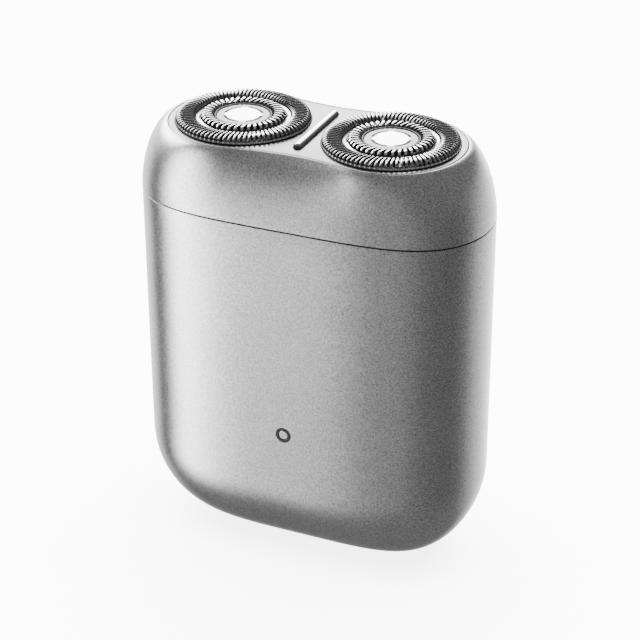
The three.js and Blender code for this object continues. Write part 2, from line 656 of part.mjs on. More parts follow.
function addTopPlate() {
  const plate = skinSolid([topRing(plateBottom, FIT_GAP), topRing(PLATE_TOP, FIT_GAP)]);
  const holes = sides.map(([, x]) =>
    round(foilRadius + FIT_GAP, plateBottom - 1, PLATE_TOP + 1, x, 0, ROUND));
  const reach = waistDepth - BAR_MARGIN;
  const halfBar = BAR_WIDTH / 2;
  const groove = box([-halfBar - FIT_GAP, halfBar + FIT_GAP], [-reach - FIT_GAP, reach + FIT_GAP],
    [PLATE_TOP - BAR_GROOVE, PLATE_TOP + 1]);
  add("top_plate", cut(plate, ...holes, groove), satinPlate);
  const profile = new THREE.Shape();
  const foot = PLATE_TOP - BAR_GROOVE + FINE_GAP;
  profile.moveTo(-halfBar, foot);
  profile.lineTo(halfBar, foot);
  profile.lineTo(halfBar, PLATE_TOP);
  profile.absellipse(0, PLATE_TOP, halfBar, BAR_RISE, 0, Math.PI, false);
  const settings = { depth: 2 * reach, bevelEnabled: false, curveSegments: 8 };
  const bar = new THREE.ExtrudeGeometry(profile, settings);
  add("trim_bar", solid(bar.rotateX(Math.PI / 2).translate(0, reach, 0)), chrome);
}

// Section of a foil: two slotted crowns with a groove between them, a skirt and a flange.
function foilProfile() {
  const skirt = foilRadius;
  const rim = CAP_RADIUS + FIT_GAP;
  const groove = grooveRadius;
  const top = PLATE_TOP + FOIL_RISE;
  const outside = [
    [flangeRadius, foilBottom], [flangeRadius, flangeTop], [skirt, flangeTop],
    [skirt, top - 0.65], [skirt - 0.25, top - 0.25], [skirt - 0.9, top],
    [groove + 1.2, top], [groove + 0.45, top - 0.3], [groove, top - GROOVE_DEPTH],
    [groove - 0.4, top - 0.3], [groove - 0.9, top], [rim + 0.4, top], [rim, top - 0.3],
  ];
  const under = top - FOIL_THICKNESS;
  const grooveUnder = top - GROOVE_DEPTH - FOIL_THICKNESS;
  const inside = [
    [rim, under], [groove - 0.9, under], [groove - 0.3, grooveUnder], [groove + 0.4, grooveUnder],
    [groove + 1.2, under], [skirt - 0.9, under], [skirt - FOIL_THICKNESS, top - 0.9],
    [skirt - FOIL_THICKNESS, foilBottom],
  ];
  return [...outside, ...inside];
}

function addCutters() {
  const outerBlade = [grooveRadius + 1.3, foilRadius - 1.2];
  const innerBlade = [CAP_RADIUS + 0.6, grooveRadius - 1];
  const bladeSpan = BLADE_TOP + BLADE_DROP + 0.2;
  for (const [side, x] of sides) {
    add(`foil_${side}`, turned(foilProfile(), x), cutterSteel);
    const capTop = PLATE_TOP + CAP_RISE;
    const cap = turned([[0, capTop - CAP_THICKNESS], [CAP_RADIUS - 0.3, capTop - CAP_THICKNESS],
      [CAP_RADIUS, capTop - 0.5], [CAP_RADIUS - 0.25, capTop - 0.1], [CAP_RADIUS - 1.2, capTop],
      [0, capTop]], x);
    add(`foil_cap_${side}`, cap, satinPlate);
    const ring = joined(
      round(foilRadius - 1.2, bladeRingTop - BLADE_THICKNESS, bladeRingTop, x, 0, ROUND),
      ...Array.from({ length: BLADE_COUNT }, (_, i) => i).flatMap((i) =>
        [outerBlade, innerBlade].map(([from, to]) => {
          const tooth = new THREE.BoxGeometry(to - from, BLADE_WIDTH, bladeSpan);
          tooth.translate((from + to) / 2, 0, PLATE_TOP + BLADE_TOP - bladeSpan / 2);
          return solid(tooth.rotateZ((2 * Math.PI * i) / BLADE_COUNT).translate(x, 0, 0));
        })),
    );
    const hole = round(BLADE_BORE, bladeRingTop - 2, bladeRingTop + 2, x, 0);
    add(`blade_${side}`, cut(ring, hole), cutterSteel);
    const carrier = cut(
      joined(round(CARRIER_RADIUS, carrierBottom, carrierTop, x, 0, 24),
        round(CARRIER_NECK, carrierTop - 0.2, bladeRingTop - 0.1, x, 0)),
      round(SPINDLE_TIP + FIT_GAP + FINE_GAP, carrierBottom - 1, spindleTop + FIT_GAP, x, 0, 6),
    );
    add(`blade_carrier_${side}`, carrier, blackPlastic);
  }
}

function addRetainingFrame() {
  const inset = WALL + FIT_GAP;
  const plate = skinSolid([formRing(frameBottom, inset), formRing(frameTop, inset)]);
  const reach = [frameBottom - 1, frameTop + 1];
  const holes = sides.flatMap(([, x]) => [
    round(SPINDLE_TIP + 1.3, ...reach, x, 0),
    ...[45, 135, 225, 315].map((degrees) => {
      const angle = THREE.MathUtils.degToRad(degrees);
      const [alongX, alongY] = [Math.cos(angle), Math.sin(angle)].map((share) => share * FRAME_HOLE_PLACE);
      return round(FRAME_HOLE, ...reach, x + alongX, alongY);
    }),
  ]);
  add("retaining_frame", cut(plate, ...holes), blackPlastic);
  for (const [end, sign] of ends) {
    const high = frameBottom - FIT_GAP;
    const magnet = round(MAGNET_RADIUS, high - MAGNET_THICKNESS, high, 0, sign * MAGNET_OFFSET);
    add(`head_magnet_${end}`, magnet, plainSteel);
  }
}

addBodyShell();
addDeck();
addGearPlate();
addGears();
addMotor();
addChassis();
addBattery();
addBoard();
addIndicator();
addUsb();
addHeadShell();
addTopPlate();
addCutters();
addRetainingFrame();

export default shaver;
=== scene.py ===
"""Studio scene of a pocket rotary shaver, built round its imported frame.

The frame gives every place and size. This script adds the fine surfaces: the two halves of the
silver case, the head plate, the slotted foils, the bar and the small parts, and their finishes.
Sizes are in millimetres here, and a mesh is made in metres.
"""

import logging
import math
from dataclasses import dataclass, field
from enum import Enum
from typing import Optional, Sequence, Union

import bmesh
import bpy
import numpy as np
from mathutils import Matrix, Vector


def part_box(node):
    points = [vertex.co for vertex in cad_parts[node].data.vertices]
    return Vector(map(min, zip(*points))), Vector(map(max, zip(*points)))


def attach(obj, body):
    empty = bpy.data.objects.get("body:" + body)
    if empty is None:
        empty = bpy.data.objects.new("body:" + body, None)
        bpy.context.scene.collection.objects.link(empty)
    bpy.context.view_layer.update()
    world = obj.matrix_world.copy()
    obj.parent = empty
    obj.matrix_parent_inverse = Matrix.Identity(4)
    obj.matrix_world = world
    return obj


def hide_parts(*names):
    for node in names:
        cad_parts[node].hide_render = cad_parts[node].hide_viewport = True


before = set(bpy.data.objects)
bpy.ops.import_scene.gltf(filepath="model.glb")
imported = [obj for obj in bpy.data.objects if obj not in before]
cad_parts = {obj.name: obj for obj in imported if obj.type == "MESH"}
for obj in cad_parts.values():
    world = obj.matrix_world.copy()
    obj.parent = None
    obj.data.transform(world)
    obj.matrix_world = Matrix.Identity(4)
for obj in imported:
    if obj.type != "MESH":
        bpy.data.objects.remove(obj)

log = logging.getLogger("shaver")

MM = 0.001
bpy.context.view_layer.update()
PLATE_MARGIN = 0.3  # between the top outline and the plate's own node
FOIL_FLANGE = 0.7  # height of the flange at the foot of a foil
CLEAR = 1.0  # how far a cutting tool reaches past what it cuts
SIDES = ("left", "right")
ENDS = ("front", "rear")

Grid = np.ndarray
Piece = bpy.types.Object


@dataclass(frozen=True)
class Box:
    """The box round a frame node, in millimetres."""

    low: np.ndarray
    high: np.ndarray

    @property
    def size(self) -> np.ndarray:
        """The box's three sides."""
        return self.high - self.low

    @property
    def middle(self) -> np.ndarray:
        """The box's centre."""
        return (self.low + self.high) / 2


def span(node: str) -> Box:
    """The box of a frame node, by its name."""
    low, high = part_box(node)
    return Box(np.array(low) / MM, np.array(high) / MM)


# ---- Shader maths --------------------------------------------------------------------------


class Socket:
    """A shader socket that works in Python arithmetic: each operator adds one Math node."""

    def __init__(self, graph: "Graph", output: bpy.types.NodeSocket) -> None:
        """Keeps the graph that new nodes go into, and the socket itself."""
        self.graph = graph
        self.output = output

    def math(self, operation: str, *values: "Value") -> "Socket":
        """Adds one Math node.

        Args:
            operation: the Math node's operation.
            values: its inputs in order.

        Returns:
            The node's output.
        """
        return self.graph.node("ShaderNodeMath", {"operation": operation}, dict(enumerate(values)))

    def __add__(self, other: "Value") -> "Socket":
        """Sum."""
        return self.math("ADD", self, other)

    def __sub__(self, other: "Value") -> "Socket":
        """Difference."""
        return self.math("SUBTRACT", self, other)

    def __rsub__(self, other: "Value") -> "Socket":
        """Difference with this socket on the right."""
        return self.math("SUBTRACT", other, self)

    def __mul__(self, other: "Value") -> "Socket":
        """Product."""
        return self.math("MULTIPLY", self, other)

    __radd__ = __add__
    __rmul__ = __mul__

    def spread(self, low: float, high: float) -> "Socket":
        """Takes 0 to 1 over to a span.

        Args:
            low: the value at 0.
            high: the value at 1.

        Returns:
            The value between them.
        """
        return self * (high - low) + low

    def step(self, start: float, end: float) -> "Socket":
        """A straight ramp between two values.

        Args:
            start: where the ramp is 0.
            end: where it is 1.

        Returns:
            The ramp, which stays within 0 and 1.
        """
        inputs = {"Value": self, "From Min": start, "From Max": end}
        return self.graph.node("ShaderNodeMapRange", {"clamp": True}, inputs)


Value = Union[Socket, float, Sequence[float]]


class Graph:
    """The node tree of a material or of the world."""

    def __init__(self, owner: Union[bpy.types.Material, bpy.types.World]) -> None:
        """Starts the owner's node tree afresh.

        Args:
            owner: the material or the world.
        """
        owner.use_nodes = True
        self.tree = owner.node_tree
        self.tree.nodes.clear()

    def node(
        self,
        kind: str,
        settings: Optional[dict] = None,
        inputs: Optional[dict] = None,
        output: Union[int, str] = 0,
    ) -> Optional[Socket]:
        """Makes any node.

        Args:
            kind: the node's type.
            settings: its attributes, set first; "stops" is a ramp's list of (place, grey).
            inputs: a value or a Socket for each input, by name or number.
            output: which output to return.

        Returns:
            The chosen output, or None on a node that has none.
        """
        made = self.tree.nodes.new(kind)
        for name, value in (settings or {}).items():
            if name == "stops":
                self.fill_ramp(made.color_ramp, value)
            else:
                setattr(made, name, value)
        for key, value in (inputs or {}).items():
            if isinstance(value, Socket):
                self.tree.links.new(value.output, made.inputs[key])
            else:
                made.inputs[key].default_value = value
        return Socket(self, made.outputs[output]) if len(made.outputs) else None

    @staticmethod
    def fill_ramp(ramp: bpy.types.ColorRamp, stops: Sequence[tuple[float, float]]) -> None:
        """Sets a ramp's stops.

        Args:
            ramp: the colour ramp.
            stops: pairs of place and grey level.
        """
        while len(ramp.elements) < len(stops):
            ramp.elements.new(0.5)
        for element, (place, grey) in zip(ramp.elements, stops):
            element.position = place
            element.color = (grey, grey, grey, 1)

    def noise(self, where: Socket, grain: float, detail: float = 2.0) -> Socket:
        """Noise from 0 to 1.

        Args:
            where: coordinates in metres.
            grain: size of a blotch in millimetres.
            detail: number of octaves.

        Returns:
            The noise.
        """
        inputs = {"Vector": where, "Scale": 1 / (grain * MM), "Detail": detail}
        return self.node("ShaderNodeTexNoise", None, inputs)

    def mix(self, low: Value, high: Value, share: Value) -> Socket:
        """Mixes two colours.

        Args:
            low: the colour where share is 0.
            high: the colour where share is 1.
            share: the factor.

        Returns:
            The colour.
        """
        inputs = {0: share, 6: low, 7: high}
        return self.node("ShaderNodeMix", {"data_type": "RGBA"}, inputs, output=2)


# ---- Finishes ------------------------------------------------------------------------------


class Pattern(Enum):
    """What the grain of a finish follows."""

    FLAKE = "flake"  # metal flakes in paint, or blasted metal
    TURNED = "turned"  # fine rings round a vertical axis
    DRAWN = "drawn"  # lines along one axis
    MOULDED = "moulded"  # the soft mottle of moulded plastic or rubber
    TRACKS = "tracks"  # copper tracks under a board's lacquer


@dataclass(frozen=True)
class Finish:
    """One finish: a colour with a pattern that varies its tone, roughness and height."""

    name: str
    colour: tuple[float, float, float]
    metallic: float
    roughness: float
    pattern: Pattern = Pattern.MOULDED
    grain: float = 0.3  # size of the pattern in millimetres
    contrast: float = 0.06  # share by which the tone varies
    unevenness: float = 0.06  # how far the roughness varies
    relief: float = 0.004  # height of the pattern in millimetres
    coat: float = 0.0
    specular: float = 0.5
    glow: float = 0.0  # light given off
    axis_x: float = 0.0  # where the axis of turned rings stands, in millimetres
    stretch: tuple[float, float, float] = (1.0, 1.0, 1.0)  # of drawn lines
    has_painted_shade: bool = False  # whether painted shade from the mesh's own attribute darkens the tone
    hollow: float = 0.03  # share of the colour left in full painted shade

    COARSE = 2.3  # size of the coarse flakes against the fine ones
    COARSE_SHARE = 0.25
    CLOUD = 9.0  # size in millimetres of the faint clouds that every finish has
    CLOUD_SHARE = 0.2
    COAT_ROUGHNESS = 0.08
    METAL_FROM = 0.12  # share of the attribute from which a finish with painted shade is full metal

    def shade(self, factor: float) -> tuple[float, float, float, float]:
        """The colour made lighter or darker."""
        return (*(min(level * factor, 1.0) for level in self.colour), 1.0)

    def tone(self, graph: Graph, where: Socket) -> Socket:
        """The pattern as a value from 0 to 1.

        Args:
            graph: the material's graph.
            where: object coordinates.

        Returns:
            The pattern's value.
        """
        if self.pattern is Pattern.FLAKE:
            fine, coarse = graph.noise(where, self.grain, 1.0), graph.noise(where, self.grain * self.COARSE)
            return (fine * (1 - self.COARSE_SHARE) + coarse * self.COARSE_SHARE).step(0.3, 0.7)
        if self.pattern is Pattern.TURNED:
            centre = {0: where, 1: (self.axis_x * MM, 0, 0)}
            moved = graph.node("ShaderNodeVectorMath", {"operation": "SUBTRACT"}, centre)
            flat = graph.node("ShaderNodeVectorMath", {"operation": "MULTIPLY"}, {0: moved, 1: (1, 1, 0)})
            radius = graph.node("ShaderNodeVectorMath", {"operation": "LENGTH"}, {0: flat}, output="Value")
            line = graph.node("ShaderNodeCombineXYZ", None, {"X": radius})
            return graph.noise(line, self.grain, 3.0)
        if self.pattern is Pattern.DRAWN:
            stretched = {0: where, 1: self.stretch}
            return graph.noise(
                graph.node("ShaderNodeVectorMath", {"operation": "MULTIPLY"}, stretched), self.grain, 3.0
            )
        if self.pattern is Pattern.TRACKS:
            inputs = {"Vector": where, "Scale": 1 / (self.grain * MM), "Randomness": 0.55}
            settings = {"feature": "DISTANCE_TO_EDGE", "voronoi_dimensions": "3D"}
            return graph.node("ShaderNodeTexVoronoi", settings, inputs).step(0.04, 0.09)
        return graph.noise(where, self.grain, 4.0)

    def material(self) -> bpy.types.Material:
        """The material, made on first use.

        Returns:
            The material.
        """
        found = bpy.data.materials.get(self.name)
        if found:
            return found
        made = bpy.data.materials.new(self.name)
        graph = Graph(made)
        where = graph.node("ShaderNodeTexCoord", output="Object")
        tone = self.tone(graph, where)
        level = tone * (1 - self.CLOUD_SHARE) + graph.noise(where, self.CLOUD) * self.CLOUD_SHARE
        colour = graph.mix(self.shade(1 - self.contrast), self.shade(1 + self.contrast), level)
        metallic = self.metallic
        # Painted shade: where the attribute is low, the colour goes over to the hollow tone and the metal to
        # a dark diffuse surface.
        if self.has_painted_shade:
            shade_and_tone_share = graph.node("ShaderNodeAttribute", {"attribute_name": Skin.OPEN}, output="Fac")
            colour = graph.mix(self.shade(self.hollow), colour, shade_and_tone_share)
            metallic = shade_and_tone_share.step(0.0, self.METAL_FROM) * metallic
        inputs = {
            "Base Color": colour,
            "Roughness": level.spread(self.roughness - self.unevenness, self.roughness + self.unevenness),
            "Metallic": metallic,
            "Coat Weight": self.coat,
            "Coat Roughness": self.COAT_ROUGHNESS,
            "Specular IOR Level": self.specular,
            "Emission Color": (1, 1, 1, 1),
            "Emission Strength": self.glow,
            "Normal": graph.node("ShaderNodeBump", None, {"Height": tone, "Distance": self.relief * MM}),
        }
        shader = graph.node("ShaderNodeBsdfPrincipled", None, inputs)
        graph.node("ShaderNodeOutputMaterial", None, {"Surface": shader})
        return made


SILVER = Finish("blasted_silver", (0.65, 0.65, 0.655), 1.0, 0.3, Pattern.FLAKE, 0.25, 0.46, 0.03, 0.0035)
PLATE = Finish("satin_head_plate", (0.25, 0.25, 0.253), 1.0, 0.3, Pattern.FLAKE, 0.12, 0.07, 0.04, 0.002)
# Fin steel: its hollow tone paints the shade down the fins' flanks and between them.
EDGE_STEEL = Finish("honed_foil_steel", (0.96, 0.96, 0.96), 1.0, 0.14, Pattern.FLAKE, 0.2, 0.04, 0.04, 0.001,
                    specular=0.0, has_painted_shade=True, hollow=0.012)
RING_STEEL = Finish("turned_foil_steel", (0.80, 0.80, 0.80), 1.0, 0.18, Pattern.FLAKE, 0.2, 0.05, 0.04, 0.001)
# The skirt and the cap's rim: steel darkened as painted shade.
SKIRT_SHADE = Finish("darkened_skirt_steel", (0.018, 0.018, 0.019), 0.0, 0.4, Pattern.FLAKE, 0.3, 0.1, 0.05,
                    0.001, specular=0.15)
# Bar chrome: its hollow tone paints the shade along the bar's edges and front tip.
CHROME = Finish("polished_bar", (0.86, 0.86, 0.865), 1.0, 0.07, Pattern.DRAWN, 0.1, 0.03, 0.02, 0.0008,
                stretch=(1.0, 0.04, 1.0), specular=0.0, has_painted_shade=True, hollow=0.02)
# Blade steel darkened as painted shade, for the blades seen in shade through the slots.
SHADED_BLADE_STEEL = Finish("ground_blade_steel", (0.045, 0.045, 0.047), 1.0, 0.3, Pattern.DRAWN, 0.15, 0.1, 0.05,
                     0.002, stretch=(1.0, 0.1, 1.0))
PLAIN_STEEL = Finish("plain_steel", (0.56, 0.57, 0.58), 1.0, 0.3, Pattern.DRAWN, 0.2, 0.1, 0.08, 0.002,
                     stretch=(1.0, 1.0, 0.06))
ZINC = Finish("zinc_plated_sheet", (0.6, 0.61, 0.62), 1.0, 0.38, Pattern.FLAKE, 1.6, 0.12, 0.1, 0.002)
NICKEL = Finish("nickel_contact", (0.68, 0.67, 0.64), 1.0, 0.24, Pattern.FLAKE, 0.3, 0.05, 0.05, 0.001)
BRASS = Finish("cut_brass", (0.72, 0.53, 0.25), 1.0, 0.26, Pattern.DRAWN, 0.1, 0.1, 0.06, 0.002,
               stretch=(1.0, 1.0, 0.06))
NYLON = Finish("white_nylon", (0.84, 0.83, 0.78), 0.0, 0.42, Pattern.MOULDED, 0.8, 0.03, 0.05, 0.004)
GREY_PLASTIC = Finish("grey_moulding", (0.10, 0.103, 0.107), 0.0, 0.46, Pattern.MOULDED, 0.25, 0.1, 0.05,
                      0.01)
BLACK_PLASTIC = Finish("black_moulding", (0.018, 0.018, 0.019), 0.0, 0.42, Pattern.MOULDED, 0.3, 0.15, 0.06,
                       0.006)
# A black sheet with no sheen, painted as the shadow in the bar's slot.
SLOT_SHADOW = Finish("slot_lining", (0.014, 0.014, 0.014), 0.0, 0.7, Pattern.MOULDED, 0.3, 0.15, 0.06, 0.004,
                    specular=0.0)
GLOSS_BLACK = Finish("gloss_black", (0.005, 0.005, 0.005), 0.0, 0.25, Pattern.MOULDED, 0.4, 0.1, 0.04, 0.001,
                     specular=0.03)
RUBBER = Finish("dark_rubber", (0.022, 0.022, 0.023), 0.0, 0.75, Pattern.MOULDED, 0.2, 0.12, 0.06, 0.006)
LENS = Finish("white_lens", (0.86, 0.86, 0.84), 0.0, 0.2, Pattern.MOULDED, 0.5, 0.02, 0.03, 0.001)
CELL_WRAP = Finish("cell_wrap", (0.05, 0.2, 0.33), 0.0, 0.28, Pattern.DRAWN, 1.2, 0.08, 0.05, 0.004,
                   coat=0.4, stretch=(0.12, 1.0, 1.0))
BOARD = Finish("lacquered_board", (0.02, 0.13, 0.07), 0.0, 0.33, Pattern.TRACKS, 2.2, 0.3, 0.05, 0.012,
               coat=0.3)
FLOOR = Finish("pale_floor", (0.86, 0.86, 0.86), 0.0, 0.8, Pattern.MOULDED, 40.0, 0.01, 0.02, 0.0, glow=5.0)


def cap_finish(side: str, axis_x: float) -> Finish:
    """The near-white satin of a head's middle cap, with painted shade in the arcs of its groove.

    Args:
        side: left or right.
        axis_x: where the cap's axis stands.

    Returns:
        The finish, whose turned rings stand on that axis.
    """
    return Finish(f"satin_cap_{side}", (0.96, 0.96, 0.965), 1.0, 0.24, Pattern.TURNED, 0.09, 0.03, 0.05,
                  0.0012, axis_x=axis_x, specular=0.0, has_painted_shade=True, hollow=0.03)


def dress(piece: Piece, finish: Finish) -> None:
    """Gives a piece its only material.

    Args:
        piece: the object.
        finish: its finish.
    """
    piece.data.materials.clear()
    piece.data.materials.append(finish.material())


# ---- Meshes --------------------------------------------------------------------------------


def grid_faces(rows: int, columns: int, closes_rows: bool, closes_columns: bool) -> np.ndarray:
    """The four-sided faces of a grid of points.

    Cell (r, c) joins point r*columns + c to its neighbours one row and one column on, and the
    last row or column goes back to the first where the grid closes.

    Args:
        rows: number of rows of points.
        columns: number of points in a row.
        closes_rows: whether the last row joins the first.
        closes_columns: whether the last column joins the first.

    Returns:
        Four point numbers for each face.
    """
    row, column = np.meshgrid(
        np.arange(rows if closes_rows else rows - 1),
        np.arange(columns if closes_columns else columns - 1),
        indexing="ij",
    )
    next_row, next_column = (row + 1) % rows, (column + 1) % columns
    corners = (
        row * columns + column,
        row * columns + next_column,
        next_row * columns + next_column,
        next_row * columns + column,
    )
    return np.stack(corners, axis=-1).reshape(-1, 4)


class Skin:
    """Gathers grids of points, in millimetres, into one mesh."""

    WELD = 1e-6  # metres
    SHARP = math.radians(24)
    OPEN = "open"  # attribute of painted shade: 1 unshaded, 0 in full painted shade between fins and in grooves; on the cap it also holds its duller ring's tone

    def __init__(self) -> None:
        """Starts with nothing in it."""
        self.points: list[np.ndarray] = []
        self.faces: list[np.ndarray] = []
        self.open: list[np.ndarray] = []
        self.count = 0

    def add(self, grids: Grid, closes_rows: bool = False, closes_columns: bool = True,
            shade_and_tone_share: Union[float, np.ndarray] = 1.0) -> "Skin":
        """Adds one grid, or a stack of like grids.

        Args:
            grids: points shaped (rows, columns, 3) or (copies, rows, columns, 3).
            closes_rows: whether the last row joins the first.
            closes_columns: whether the last column joins the first.
            shade_and_tone_share: painted shade and tone at each point, from 0 (darkest) to 1.

        Returns:
            This skin.
        """
        stack = grids.reshape(-1, *grids.shape[-3:])
        copies, rows, columns = stack.shape[:3]
        cell = grid_faces(rows, columns, closes_rows, closes_columns)
        starts = self.count + np.arange(copies)[:, None, None] * rows * columns
        self.points.append(stack.reshape(-1, 3))
        self.faces.append((cell[None] + starts).reshape(-1, 4))
        self.open.append(np.broadcast_to(shade_and_tone_share, stack.shape[:3]).ravel())
        self.count += copies * rows * columns
        return self

    def piece(self, name: str) -> Piece:
        """Makes the object, with doubles merged, faces outward and edges sharp past SHARP.

        Args:
            name: the object's name.

        Returns:
            The object, at the origin.
        """
        mesh = bpy.data.meshes.new(name)
        points = np.concatenate(self.points) * MM
        mesh.from_pydata(points.tolist(), [], np.concatenate(self.faces).tolist())
        shares = np.concatenate(self.open).astype(np.float32)
        if shares.min() < 1:
            mesh.attributes.new(self.OPEN, "FLOAT", "POINT").data.foreach_set("value", shares)
        made = bmesh.new()
        made.from_mesh(mesh)
        bmesh.ops.remove_doubles(made, verts=made.verts, dist=self.WELD)
        bmesh.ops.dissolve_degenerate(made, edges=made.edges, dist=self.WELD / 2)
        bmesh.ops.recalc_face_normals(made, faces=made.faces)
        made.to_mesh(mesh)
        made.free()
        return finished(name, mesh)


def finished(name: str, mesh: bpy.types.Mesh) -> Piece:
    """An object from a mesh, shaded smooth between sharp edges.

    Args:
        name: the object's name.
        mesh: its mesh.

    Returns:
        The object, in the scene.
    """
    mesh.shade_smooth()
    mesh.set_sharp_from_angle(angle=Skin.SHARP)
    piece = bpy.data.objects.new(name, mesh)
    bpy.context.scene.collection.objects.link(piece)
    return piece


def carve(stock: Piece, *tools: Piece) -> Piece:
    """Cuts closed pieces out of another, exactly, and removes them.

    Args:
        stock: the piece that is cut.
        tools: what is cut out of it.

    Returns:
        The cut piece, under the stock's name.
    """
    for tool in tools:
        cut = stock.modifiers.new(tool.name, "BOOLEAN")
        cut.operation = "DIFFERENCE"
        cut.solver = "EXACT"
        cut.object = tool
    bpy.context.view_layer.update()
    graph = bpy.context.evaluated_depsgraph_get()
    mesh = bpy.data.meshes.new_from_object(stock.evaluated_get(graph))
    name = stock.name
    for piece in (stock, *tools):
        bpy.data.objects.remove(piece)
    mesh.name = name
    return finished(name, mesh)


def arc(start: float, end: float, count: int) -> np.ndarray:
    """Evenly spaced angles in radians, from degrees, both ends included."""
    return np.radians(np.linspace(start, end, count))


def lathe(profile: np.ndarray, facets: int, centre: Sequence[float], along_y: bool = False) -> Grid:
    """Turns a section round an axis.

    A profile point (r, h) becomes (r cos t, r sin t, h) about a vertical axis, and
    (r cos t, h, r sin t) about an axis along Y.

    Args:
        profile: points shaped (n, 2), radius and height.
        facets: points round the axis.
        centre: the point that the profile's origin is moved to.
        along_y: whether the axis lies along Y.

    Returns:
        Points shaped (n, facets, 3).
    """
    turn = np.linspace(0, 2 * np.pi, facets, endpoint=False)
    radius, height = profile[:, :1], profile[:, 1:]
    circle = [radius * np.cos(turn), radius * np.sin(turn), height + 0 * turn]
    order = (0, 2, 1) if along_y else (0, 1, 2)
    return np.stack([circle[i] for i in order], axis=-1) + np.array(centre)


def cylinder(name: str, radius: float, low: float, high: float, centre: Sequence[float],
             along_y: bool = False, facets: int = 96) -> Piece:
    """A plain cylinder, used as a cutting tool.

    Args:
        name: the piece's name.
        radius: its radius.
        low: where it starts on its axis.
        high: where it ends.
        centre: a point on its axis.
        along_y: whether the axis lies along Y.
        facets: points round it.

    Returns:
        The piece.
    """
    profile = np.array([[0, low], [radius, low], [radius, high], [0, high]])
    return Skin().add(lathe(profile, facets, centre, along_y)).piece(name)


def prism(name: str, outline: np.ndarray, low: float, high: float) -> Piece:
    """An upright prism, used as a cutting tool.

    Args:
        name: the piece's name.
        outline: points shaped (n, 2).
        low: its lower height.
        high: its upper height.

    Returns:
        The piece.
    """
    middle = outline.mean(axis=0)
    rows = [(middle, low, 0), (middle, low, 1), (middle, high, 1), (middle, high, 0)]
    grid = np.stack([
        np.column_stack([centre + (outline - centre) * share, np.full(len(outline), height)])
        for centre, height, share in rows
    ])
    return Skin().add(grid).piece(name)


def pill(length: float, width: float) -> np.ndarray:
    """Outline of a slot with round ends along X, centred on the origin.

    Args:
        length: overall length.
        width: overall width.

    Returns:
        Points shaped (48, 2).
    """
    reach = (length - width) / 2
    ends = [
        np.stack([shift + width / 2 * np.cos(angles), width / 2 * np.sin(angles)], axis=-1)
        for shift, angles in ((reach, arc(-90, 90, 24)), (-reach, arc(90, 270, 24)))
    ]
    return np.concatenate(ends)


# ---- The outer form ------------------------------------------------------------------------


def round_off(share: np.ndarray, power: float) -> np.ndarray:
    """Rises from 0 to 1 along a superellipse arc, flat at the start and steep at the end."""
    return 1 - (1 - np.clip(share, 0, 1) ** power) ** (1 / power)


